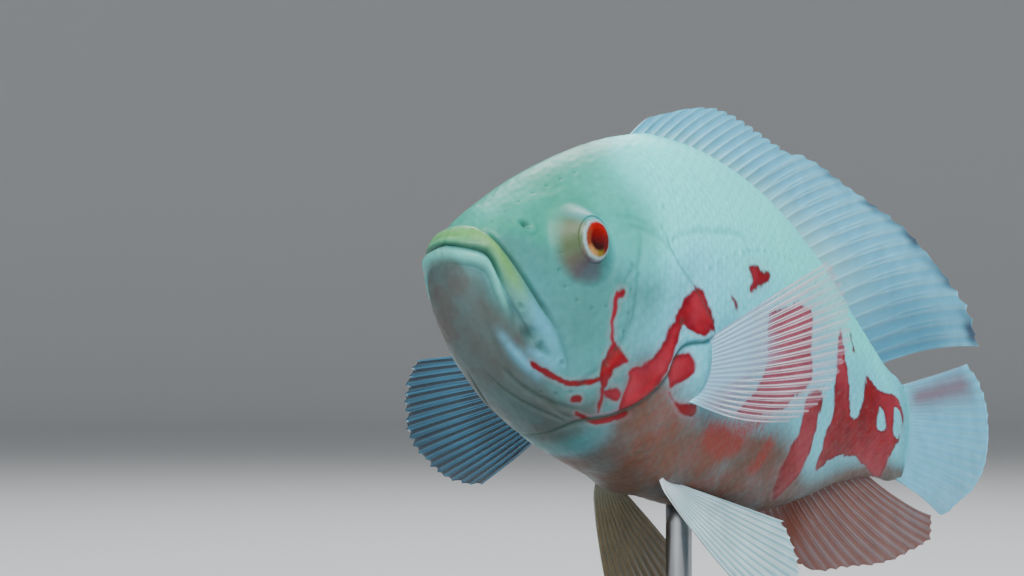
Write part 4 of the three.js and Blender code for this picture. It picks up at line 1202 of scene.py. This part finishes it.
def eye_material(finish, skin):
    """Iris and pupil by distance from the line of sight, under a clear glossy coat."""
    shader = Shader("oscar_eye")
    out, up, ahead = shader.field("out"), shader.field("up"), shader.field("ahead")
    iris = finish.iris_radius * 1000
    rim = iris + finish.rim_width * 1000
    pupil = finish.pupil_radius * 1000
    wobble = shader.times(shader.math("SUBTRACT", shader.noise(500), 0.5), 0.7)
    ragged = shader.math("ADD", out, wobble)
    iris_colour = shader.blend(shader.spread(ahead, -0.35, 0.3), finish.crimson, finish.orange)
    iris_colour = shader.blend(shader.spread(up, 0.3, 0.8), iris_colour, finish.red)
    foot = shader.blend(shader.spread(ahead, -0.3, 0.2), finish.olive, finish.cream)
    iris_colour = shader.blend(shader.spread(up, -0.5, -0.9), iris_colour, foot)
    spokes = shader.spread(shader.noise(900, 4, 0.6), 0.3, 0.7, 0.7, 1.15)
    iris_colour = shader.blend(1.0, iris_colour, spokes, "MULTIPLY")
    above = shader.times(up, out)
    pupil_colour = shader.blend(shader.spread(above, -1.8, 4.6), finish.pupil, finish.glow)
    # The ball takes the same colours, painted shade, shadow and highlight as its collar
    colour = shader.eye_shades(finish.globe, skin)
    mottled = shader.spread(shader.noise(700, 4, 0.6), 0.3, 0.7, 0.85, 1.1)
    colour = shader.blend(1.0, colour, mottled, "MULTIPLY")
    colour = shader.blend(shader.spread(ragged, rim + 0.5, rim - 0.1), colour, finish.rim)
    colour = shader.blend(shader.spread(ragged, iris + 0.3, iris - 0.45), colour, iris_colour)
    colour = shader.blend(shader.spread(ragged, pupil + 0.6, pupil - 0.5), colour, pupil_colour)
    shader.set(Base_Color=colour, Roughness=shader.spread(out, iris, rim, 0.12, 0.36))
    shader.set(Normal=shader.bump(shader.noise(1500, 3), 0.08, 0.0002))
    shader.set(Coat_Weight=shader.spread(out, rim, rim + 0.8, 0.6, 0.15), Coat_Roughness=0.03, Coat_IOR=1.45)
    shader.set(Specular_IOR_Level=0.2)
    return shader.material


def wood_material(finish):
    shader = Shader("stand_stained_wood")
    grain = shader.noise(38, 6, 0.62, vector=shader.stretched((0.6, 7, 7)))
    pores = shader.noise(420, 3, 0.7, vector=shader.stretched((0.12, 3, 3)))
    colour = shader.blend(shader.spread(grain, 0.38, 0.66), finish.wood, finish.grain)
    dark_pore = paint(22, 17, 14)
    colour = shader.blend(shader.spread(pores, 0.6, 0.72, 0, 0.7), colour, dark_pore)
    worn = shader.spread(shader.noise(25, 5), 0.35, 0.7, 0.3, 0.48)
    shader.set(Base_Color=colour, Roughness=worn, Coat_Weight=0.3, Coat_Roughness=0.2)
    shader.set(Normal=shader.bump(pores, 0.25, 0.0003, shader.bump(grain, 0.12, 0.0005)))
    return shader.material


def steel_material(finish):
    shader = Shader("stand_brushed_steel")
    brushed = shader.noise(2600, 4, 0.7, vector=shader.stretched((1, 1, 0.03)))
    smudge = shader.noise(45, 4)
    smudged = paint(128, 130, 134)
    colour = shader.blend(shader.spread(smudge, 0.3, 0.7, 0.0, 0.25), finish.steel, smudged)
    shader.set(Base_Color=colour, Metallic=1.0)
    shader.set(Roughness=shader.spread(smudge, 0.3, 0.7, 0.24, 0.4))
    shader.set(Normal=shader.bump(brushed, 0.16, 0.0001))
    return shader.material


def stage_material(finish):
    shader = Shader("studio_backdrop")
    tone = shader.spread(shader.noise(0.8, 2), 0.2, 0.8, 0.97, 1.0)
    shader.set(Base_Color=shader.blend(1.0, finish.backdrop, tone, "MULTIPLY"), Roughness=0.9)
    return shader.material


def median_points(fin, t, s):
    """Points of a fin on the middle plane: t runs along its root and s out along the rays."""
    count = fin["spines"] + fin["soft"]
    share = mix(fin["from"], fin["to"], t)
    root = (back(share) if fin["up"] > 0 else belly(share)) * STANDARD_LENGTH
    reach = profile(fin["length"])(t) * STANDARD_LENGTH + FIN_SINK
    lean = np.radians(profile(fin["lean"])(t) + fin["curl"] * s)
    run = s * reach - FIN_SINK
    soft_share = np.maximum(t * (count - 1) - fin["spines"], 0) / (fin["soft"] - 1)
    x = share * STANDARD_LENGTH + np.sin(lean) * run
    z = root + fin["up"] * np.cos(lean) * run
    return np.stack([x, fin["sway"] * soft_share * s * s, z], -1)


def caudal_points(fin, t, s):
    upwards = 2 * t - 1
    angle = np.radians(fin["spread"] * upwards + fin["lift"])
    reach = profile(fin["length"])(t) * STANDARD_LENGTH * s
    level = (TAIL_LEVEL + fin["root_half_height"] * upwards) * STANDARD_LENGTH
    x = STANDARD_LENGTH - fin["sink"] + np.cos(angle) * reach
    return np.stack([x, fin["sway"] * s * s, level + np.sin(angle) * reach], -1)


def paired_points(fin, side, t, s):
    def vector(name):
        return np.array(fin[name][side], float)

    direction = unit(mix(vector("first"), vector("last"), t[..., None]))
    root = point_at_level(fin["at"], side) + vector("root_span") * (t[..., None] - 0.5)
    run = s * (profile(fin["length"])(t) * STANDARD_LENGTH + PAIRED_SINK) - PAIRED_SINK
    before, after = fin["bow"]
    bow = mix(-before, after, t) * np.sin(math.pi * s)
    fan = unit(vector("last") - vector("first"))
    bend = vector("cup") * (s * s)[..., None] + vector("dive") * (1 - smooth(s, 0, 0.14))[..., None]
    return root + direction * run[..., None] + bend + fan * bow[..., None]


def ray_ridges(away, spacing, s, width, soft):
    """How much of a ray lies at this distance from it: soft rays part in two and then in four."""
    first = 0.15 * smooth(s, 0.22, 0.5) * soft
    second = 0.07 * smooth(s, 0.5, 0.78) * soft
    ridge = np.zeros(np.broadcast(away, s).shape)
    for half in (-1, 1):
        for quarter in (-1, 1):
            centre = half * first + quarter * second
            ridge = np.maximum(ridge, bell((away - centre) * spacing / width))
    return ridge


def build_fin(name, point_at, rays, material, node, finish, spines=0, notch=0.12, steps=44, per_ray=16,
              flare=1.0, ripple=0.3, seed=1, tint=None, ray_scale=1.0, fleshy=0.0):
    """A closed thin sheet with rays raised on both faces, scalloped and slightly ragged at its edge."""
    count = (rays - 1) * per_ray + 1
    t, s = np.meshgrid(np.linspace(0, 1, count), np.linspace(0, 1, steps), indexing="ij")
    place = t * (rays - 1)
    away = place - np.round(place)
    between = np.abs(np.sin(math.pi * place))
    spiny = 1 - smooth(place, spines - 0.6, spines + 0.4) if spines else np.zeros_like(t)
    lobe = 1 - np.sqrt(1 - (1.96 * away) ** 2)
    trimmed_by = mix(notch * 0.2 * between**0.8, LOBE_DEPTH * lobe, spiny)
    edge_points = np.stack([place * 4.0, np.zeros_like(place)], -1)
    ragged = 0.006 * waves(edge_points, 3.0, seed) + 0.008 * waves(edge_points, 23.0, seed + 1)
    trimmed = s * (FIN_TRIM - trimmed_by + ragged * s)
    middle = point_at(t, trimmed)
    across = np.gradient(middle, axis=0) * per_ray
    along = np.gradient(middle, axis=1)
    normal = unit(np.cross(across, along))
    spacing = np.linalg.norm(across, axis=-1)
    root_ray = finish.ray_thickness * 1000 / 2 * ray_scale
    radius = mix(root_ray, root_ray * 0.3, s**0.8) * mix(0.72, 1, spiny)
    ridge = ray_ridges(away, spacing, s, radius * 0.9 + 0.12 * ray_scale, 1 - spiny)
    ridge = np.maximum(ridge, fleshy * (1 - smooth(s, 0.06, 0.26)))
    pad = 1 + (flare - 1) * np.exp(-s / 0.12)
    web = finish.web_thickness * 1000 / 2
    thickness = mix(web, np.maximum(radius, web), ridge) * pad
    fold = ripple * np.cos(2 * math.pi * place) * smooth(s, 0.02, 0.25) * (1 - 0.5 * s)
    fold += 0.25 * waves(middle, 34, seed + 2) * smooth(s, 0.1, 0.6)
    middle = middle + normal * fold[..., None]
    sheet = np.concatenate([
        (middle + normal * thickness[..., None]).reshape(-1, 3),
        (middle - normal * thickness[..., None]).reshape(-1, 3),
    ])
    size = count * steps
    faces = np.concatenate([grid_faces(count, steps), grid_faces(count, steps, first=size, flip=True)])
    rim = [c * steps for c in range(count)]
    rim += [(count - 1) * steps + j for j in range(1, steps)]
    rim += [c * steps + steps - 1 for c in range(count - 2, -1, -1)]
    rim += list(range(steps - 2, 0, -1))
    rim = np.array(rim)
    following = np.roll(rim, -1)
    band = np.stack([following, rim, rim + size, following + size], -1)
    faces = np.concatenate([faces, band])
    steps_out = np.linalg.norm(np.diff(middle, axis=1), axis=-1)
    run = np.concatenate([np.zeros((count, 1)), np.cumsum(steps_out, 1)], 1)
    fields = {"ray": np.clip(ridge * 1.1, 0, 1), "run": run}
    for field, value in (tint(t, s, place) if tint else {}).items():
        fields[field] = np.clip(value, 0, 1)
    fields = {field: np.concatenate([value.ravel(), value.ravel()]) for field, value in fields.items()}
    front = np.stack([0.01 + 0.47 * t, 0.01 + 0.98 * s], -1).reshape(-1, 2)
    chart = np.concatenate([front, front + [0.51, 0]])
    return new_piece(name, fish_to_world(sheet), faces.tolist(), material, [node], fields, chart)


def dorsal_tint(t, s, place):
    soft = smooth(t, 0.42, 0.6)
    fringe = smooth(s, 0.86, 0.99) * soft * (0.55 + 0.45 * waves(np.stack([place * 3, s * 20], -1), 6, 61))
    shade = smooth(t, 0.7, 1) * (1 - 0.6 * smooth(s, 0.5, 0.9))
    return {"fringe": fringe, "cream": (1 - smooth(s, 0.1, 0.5)) * 0.8 * (1 - shade), "shade": shade}


def caudal_tint(t, s, place):
    band = bell((t - 0.84 - 0.05 * s) / 0.11) * smooth(s, 0.02, 0.2) * (1 - smooth(s, 0.75, 1))
    red_root = (1 - smooth(s, 0.03, 0.12)) * bell((t - 0.45) / 0.25)
    return {"band": band, "streak": 0.5 * red_root, "root": 1 - smooth(s, 0.02, 0.14)}


def anal_tint(t, s, place):
    streak = bell((t - 0.36 + 0.4 * s) / 0.1) * smooth(s, 0.02, 0.15) * (1 - 0.5 * smooth(s, 0.6, 1))
    return {"streak": streak}


def pectoral_tint(t, s, place):
    reach = 0.5 - 0.2 * smooth(t, 0.4, 0.9) + 0.04 * waves(np.stack([place, s * 4], -1), 3, 62)
    pale = 1 - smooth(s, reach - 0.15, reach + 0.1)
    return {
        "rosy": smooth(s, reach, reach + 0.15), "pale": pale, "root": 1 - smooth(s, 0.03, 0.2),
        "faint": smooth(s, 0.72, 1),
    }


def build_eye(name, side, material, finish):
    """The eyeball: a low dome with a nearly flat iris in it, and a slight groove at the iris's edge."""
    rings, spokes = 72, 96

    def dome(radius):
        return EYE_RISE * (1 - (radius / EYE_DOME) ** EYE_ROUNDNESS) ** 0.5

    lift, turn = np.meshgrid(
        np.linspace(0, 1, rings)[1:-1], np.linspace(0, 2 * math.pi, spokes, endpoint=False), indexing="ij"
    )
    a = mix(EYE_UNDERSIDE, math.pi / 2, lift)
    radius = EYE_RADIUS * np.cos(a)
    rise = np.where(a > 0, dome(radius), EYE_RADIUS * np.sin(a))
    iris = finish.iris_radius * 1000
    flat_iris = dome(iris) + IRIS_BULGE * (1 - (radius / iris) ** 2)
    rise = mix(flat_iris, rise, smooth(radius, iris - 0.4, iris + 0.6))
    rise = rise - 0.1 * bell((radius - iris) / 0.35)
    centre, sight = eye_place(side)
    up = unit(np.array([0.0, 0.0, 1.0]) - sight * sight[2])
    forward = np.cross(up, sight)
    out = np.cos(turn)[..., None] * forward + np.sin(turn)[..., None] * up
    points = centre + out * radius[..., None] + sight * rise[..., None]
    top = centre + sight * (dome(iris) + IRIS_BULGE)
    bottom = centre + sight * (EYE_RADIUS * math.sin(EYE_UNDERSIDE))
    rows = rings - 2
    flat = np.concatenate([points.reshape(-1, 3), [top], [bottom]])
    faces = grid_faces(rows, spokes, closed=True).tolist()
    last = (rows - 1) * spokes
    faces += [[last + k, last + (k + 1) % spokes, len(flat) - 2] for k in range(spokes)]
    faces += [[(k + 1) % spokes, k, len(flat) - 1] for k in range(spokes)]
    ahead, upwards = -out[..., 0], out[..., 2]
    fields = {"up": upwards, "ahead": ahead, **eye_zones(ahead, upwards)}
    fields = {field: np.append(values.ravel(), [0, 0]) for field, values in fields.items()}
    fields["out"] = np.append(radius.ravel(), [0, EYE_RADIUS])
    flat_chart = np.stack([np.cos(turn) * (1 - lift), np.sin(turn) * (1 - lift)], -1)
    chart = np.concatenate([0.5 + 0.49 * flat_chart.reshape(-1, 2), [[0.5, 0.5]], [[0.99, 0.5]]])
    return new_piece(name, fish_to_world(flat), faces, material, [name], fields, chart)


class BuildStage(bpy.types.Operator):
    """Builds the pale floor with its turned-up edge, the soft lamps and the camera."""

    bl_idname = "oscar.build_stage"
    bl_label = "Stage"

    def execute(self, context):
        finish = context.scene.oscar_stage
        self.backdrop(stage_material(finish))
        self.world(finish)
        middle = Vector((0.02, 0, 0.13))
        self.lamp("key", (-0.75, -0.75, 1.5), middle, 1.5, finish.key)
        self.lamp("fill", (-1.5, -0.5, 0.35), middle, 1.2, finish.fill)
        self.lamp("rim", (0.9, 0.7, 1.3), middle, 0.9, finish.rim)
        self.camera(finish)
        return {"FINISHED"}

    def backdrop(self, material):
        """A wide floor that turns up into a low wall all round."""
        flat, bend, top, spokes = 3.4, 0.9, 2.2, 96
        curve = [(flat * k / 6, 0.0) for k in range(1, 7)]
        curve += [
            (flat + bend * math.sin(a), bend - bend * math.cos(a))
            for a in np.linspace(0, math.pi / 2, 14)[1:]
        ]
        curve.append((flat + bend, top))
        points = [(0, 0, 0)]
        for radius, height in curve:
            for k in range(spokes):
                a = 2 * math.pi * k / spokes
                points.append((radius * math.cos(a), radius * math.sin(a), height))
        faces = [[0, 1 + k, 1 + (k + 1) % spokes] for k in range(spokes)]
        faces += grid_faces(len(curve), spokes, first=1, closed=True, flip=True).tolist()
        mesh = bpy.data.meshes.new("studio_floor")
        mesh.from_pydata(points, [], faces)
        mesh.shade_smooth()
        mesh.materials.append(material)
        floor = bpy.data.objects.new("studio_floor", mesh)
        bpy.context.scene.collection.objects.link(floor)

    def world(self, finish):
        world = bpy.data.worlds.new("studio")
        world.use_nodes = True
        background = world.node_tree.nodes["Background"]
        background.inputs["Color"].default_value = (0.93, 0.97, 1.0, 1)
        background.inputs["Strength"].default_value = finish.world
        bpy.context.scene.world = world

    def lamp(self, name, at, target, size, power):
        data = bpy.data.lights.new(name, "AREA")
        data.shape = "DISK"
        data.size = size
        data.energy = power
        lamp = bpy.data.objects.new(name, data)
        lamp.location = at
        lamp.rotation_euler = (target - Vector(at)).to_track_quat("-Z", "Y").to_euler()
        bpy.context.scene.collection.objects.link(lamp)

    def camera(self, finish):
        a, e = finish.azimuth, finish.elevation
        away = Vector((math.sin(a) * math.cos(e), -math.cos(a) * math.cos(e), math.sin(e)))
        data = bpy.data.cameras.new("camera")
        data.lens = finish.lens
        data.sensor_width = 36
        camera = bpy.data.objects.new("camera", data)
        camera.location = Vector(finish.target) + away * finish.distance
        camera.rotation_euler = (-away).to_track_quat("-Z", "Y").to_euler()
        bpy.context.scene.collection.objects.link(camera)
        bpy.context.scene.camera = camera


class BuildSkin(bpy.types.Operator):
    """Builds one skin from the lips to the root of the tail, with its folds, scales and marks."""

    bl_idname = "oscar.build_skin"
    bl_label = "Skin"

    def execute(self, context):
        finish = context.scene.oscar_skin
        grid = SkinGrid()
        offset = grid.relief(finish)
        points = grid.plain + grid.normal * offset[..., None]
        points[..., 0] += snout_inset(grid.share, grid.plain)
        points = grid.eye_rings(points)
        grid.tail_fringe(points)
        grid.paint_fields()
        rows, columns = grid.share.shape
        tip, end = points[0].mean(0), points[-1].mean(0)
        flat = np.concatenate([points.reshape(-1, 3), [tip], [end]])
        first_end, last = len(flat) - 2, (rows - 1) * columns
        faces = grid_faces(rows, columns, closed=True, flip=True).tolist()
        faces += [[first_end, k, (k + 1) % columns][::-1] for k in range(columns)]
        faces += [[last + k, first_end + 1, last + (k + 1) % columns][::-1] for k in range(columns)]
        fields = {
            name: np.append(field.ravel(), [field[0, 0], field[-1, 0]]) for name, field in grid.paint.items()
        }
        turn = np.arange(columns) / columns
        u, v = np.meshgrid(np.sqrt(grid.share[:, 0]), turn, indexing="ij")
        chart = np.concatenate([np.stack([v, u], -1).reshape(-1, 2), [[0.5, 0.0]], [[0.5, 1.0]]])
        new_piece(
            "skin", fish_to_world(flat), faces, skin_material(finish),
            ["head", "jaw_lower", "gill_cover_left", "gill_cover_right", "trunk", "tail_root"],
            fields, chart,
        )
        return {"FINISHED"}


class BuildEyes(bpy.types.Operator):
    """Builds the two eyeballs."""

    bl_idname = "oscar.build_eyes"
    bl_label = "Eyes"

    def execute(self, context):
        finish = context.scene.oscar_eye
        material = eye_material(finish, context.scene.oscar_skin)
        for word, side in SIDES.items():
            build_eye(f"eye_{word}", side, material, finish)
        return {"FINISHED"}


class BuildMedianFins(bpy.types.Operator):
    """Builds the dorsal, anal and tail fins."""

    bl_idname = "oscar.build_median_fins"
    bl_label = "Dorsal, anal and tail fins"

    def execute(self, context):
        finish = context.scene.oscar_fin
        cream = paint(158, 212, 204)
        build_fin(
            "dorsal_fin", lambda t, s: median_points(DORSAL, t, s), DORSAL["spines"] + DORSAL["soft"],
            fin_material(
                "oscar_dorsal", finish.ray, finish.web,
                tints=[
                    ("cream", cream, 0.6), ("shade", finish.shaded_ray, 0.75), ("fringe", finish.fringe, 0.9),
                ],
            ),
            "fin_dorsal", finish, spines=DORSAL["spines"], seed=71, tint=dorsal_tint, ripple=0.14,
        )
        build_fin(
            "anal_fin", lambda t, s: median_points(ANAL, t, s), ANAL["spines"] + ANAL["soft"],
            fin_material(
                "oscar_anal", between_paints(finish.blush, finish.ray, 0.15), finish.blush,
                tints=[("streak", finish.streak, 0.9)],
            ),
            "fin_anal", finish, spines=ANAL["spines"], seed=81, tint=anal_tint, ripple=0.1, ray_scale=0.8,
        )
        build_fin(
            "tail_fin", lambda t, s: caudal_points(CAUDAL, t, s), CAUDAL["rays"],
            fin_material(
                "oscar_tail", between_paints(finish.ray, finish.web, 0.6), finish.web,
                tints=[
                    ("root", context.scene.oscar_skin.flank, 0.8), ("band", finish.band, 0.85),
                    ("streak", finish.band, 0.5),
                ],
            ),
            "fin_tail", finish, notch=0.1, seed=91, tint=caudal_tint, flare=1.6, per_ray=20, fleshy=0.8,
            ripple=0.16,
        )
        return {"FINISHED"}


class BuildPairedFins(bpy.types.Operator):
    """Builds the pectoral and pelvic fins of both sides."""

    bl_idname = "oscar.build_paired_fins"
    bl_label = "Pectoral and pelvic fins"

    def execute(self, context):
        finish = context.scene.oscar_fin
        flank = context.scene.oscar_skin.flank
        tints = [("rosy", finish.rosy, 0.3), ("pale", finish.base_pectoral, 0.85), ("root", flank, 0.7)]
        pectorals = {
            LEFT: fin_material(
                "oscar_pectoral", finish.ray_pectoral, finish.web_pectoral, finish.web_alpha, tints
            ),
            # The right pectoral fin is painted in shade
            RIGHT: fin_material("oscar_pectoral_far_shaded", finish.shaded_ray, finish.shaded_web, 0.7),
        }
        pelvics = {
            LEFT: fin_material("oscar_pelvic_pale", finish.ray_pectoral, finish.web_pelvic, 0.85),
            RIGHT: fin_material(
                "oscar_pelvic_olive", between_paints(finish.olive, finish.ray, 0.15), finish.olive, 0.8
            ),
        }
        for number, (word, side) in enumerate(SIDES.items()):
            build_fin(
                f"pectoral_fin_{word}", lambda t, s: paired_points(PECTORAL, side, t, s),
                PECTORAL["rays"], pectorals[side], f"fin_pectoral_{word}", finish, notch=0.1,
                seed=101 + number, flare=1.8, tint=pectoral_tint, per_ray=18, ripple=0.1, ray_scale=0.6,
                fleshy=0.9,
            )
            build_fin(
                f"pelvic_fin_{word}", lambda t, s: paired_points(PELVIC, side, t, s),
                PELVIC["rays"], pelvics[side], f"fin_pelvic_{word}", finish, notch=0.14,
                seed=111 + number, flare=2.4, per_ray=18, ripple=0.3, ray_scale=0.75, fleshy=0.9,
            )
        return {"FINISHED"}


class BuildStand(bpy.types.Operator):
    """Builds the stained base and the steel rod with its collar."""

    bl_idname = "oscar.build_stand"
    bl_label = "Stand"

    def execute(self, context):
        finish = context.scene.oscar_stand
        self.base(finish)
        self.rod(finish)
        return {"FINISHED"}

    def base(self, finish):
        """A board with round corners, a rounded upper edge and a small lower bevel."""
        half_x, half_y, height = BASE_HIGH
        corner, round_edge, foot = 0.018, finish.edge, 0.0008
        steps = 12
        levels = [(foot, 0.0), (0.0, foot)]
        for a in np.linspace(0, math.pi / 2, 9):
            levels.append((round_edge * (1 - math.cos(a)), height - round_edge + round_edge * math.sin(a)))
        points = []
        for inset, z in levels:
            for quarter in range(4):
                cx = (half_x - corner) * (1 if quarter in (0, 3) else -1)
                cy = (half_y - corner) * (1 if quarter in (0, 1) else -1)
                for k in range(steps + 1):
                    a = math.pi / 2 * (quarter + k / steps)
                    r = corner - inset
                    points.append((cx + r * math.cos(a), cy + r * math.sin(a), z))
        ring = 4 * (steps + 1)
        faces = grid_faces(len(levels), ring, closed=True).tolist()
        faces.append(list(range(ring))[::-1])
        faces.append([(len(levels) - 1) * ring + k for k in range(ring)])
        piece = new_piece("stand_board", points, faces, wood_material(finish), ["stand_base"])
        for polygon in piece.data.polygons:
            if len(polygon.vertices) > 4:
                polygon.use_smooth = False

    def rod(self, finish):
        """A turned rod with a collar, bevels on the collar and a fillet between them."""
        low, high = ROD_LOW.z, ROD_HIGH.z
        rod_radius, collar_radius = 0.004, 0.009
        top = low + 0.005
        small, bevel, fillet = 0.0004, 0.0008, 0.0016
        outline = [
            (0.0, low), (collar_radius - small, low), (collar_radius, low + small),
            (collar_radius, top - bevel), (collar_radius - bevel, top), (rod_radius + fillet, top),
        ]
        outline += [
            (rod_radius + fillet * (1 - math.sin(a)), top + fillet * (1 - math.cos(a)))
            for a in np.linspace(0, math.pi / 2, 6)[1:]
        ]
        outline += [(rod_radius, low + (high - low) * k / 12) for k in range(2, 13)]
        outline.append((0.0, high))
        spokes = 64
        turn = np.arange(spokes) * 2 * math.pi / spokes
        points = [(0, 0, low)]
        for radius, z in outline[1:-1]:
            points += [(radius * math.cos(a), radius * math.sin(a), z) for a in turn]
        points.append((0, 0, high))
        rows = len(outline) - 2
        faces = grid_faces(rows, spokes, first=1, closed=True).tolist()
        faces += [[0, 1 + (k + 1) % spokes, 1 + k] for k in range(spokes)]
        last = 1 + (rows - 1) * spokes
        faces += [[last + k, last + (k + 1) % spokes, len(points) - 1] for k in range(spokes)]
        new_piece("stand_post", points, faces, steel_material(finish), ["stand_rod"])


class OscarPanel(bpy.types.Panel):
    """Lists the pieces that can be built."""

    bl_idname = "VIEW3D_PT_oscar"
    bl_label = "Oscar"
    bl_space_type = "VIEW_3D"
    bl_region_type = "UI"
    bl_category = "Oscar"

    def draw(self, context):
        for operator in OPERATORS:
            self.layout.operator(operator.bl_idname)


OPERATORS = (BuildStage, BuildSkin, BuildEyes, BuildMedianFins, BuildPairedFins, BuildStand)
SETTINGS = {
    "oscar_skin": OscarSkinFinish,
    "oscar_fin": OscarFinFinish,
    "oscar_eye": OscarEyeFinish,
    "oscar_stand": OscarStandFinish,
    "oscar_stage": OscarStageFinish,
}


def register():
    for group in (*SETTINGS.values(), *OPERATORS, OscarPanel):
        bpy.utils.register_class(group)
    for name, group in SETTINGS.items():
        setattr(bpy.types.Scene, name, PointerProperty(type=group))


def unregister():
    for name in SETTINGS:
        delattr(bpy.types.Scene, name)
    for group in reversed((*SETTINGS.values(), *OPERATORS, OscarPanel)):
        bpy.utils.unregister_class(group)


def main():
    register()
    for operator in OPERATORS:
        family, name = operator.bl_idname.split(".")
        getattr(getattr(bpy.ops, family), name)()


if __name__ == "__main__":
    main()
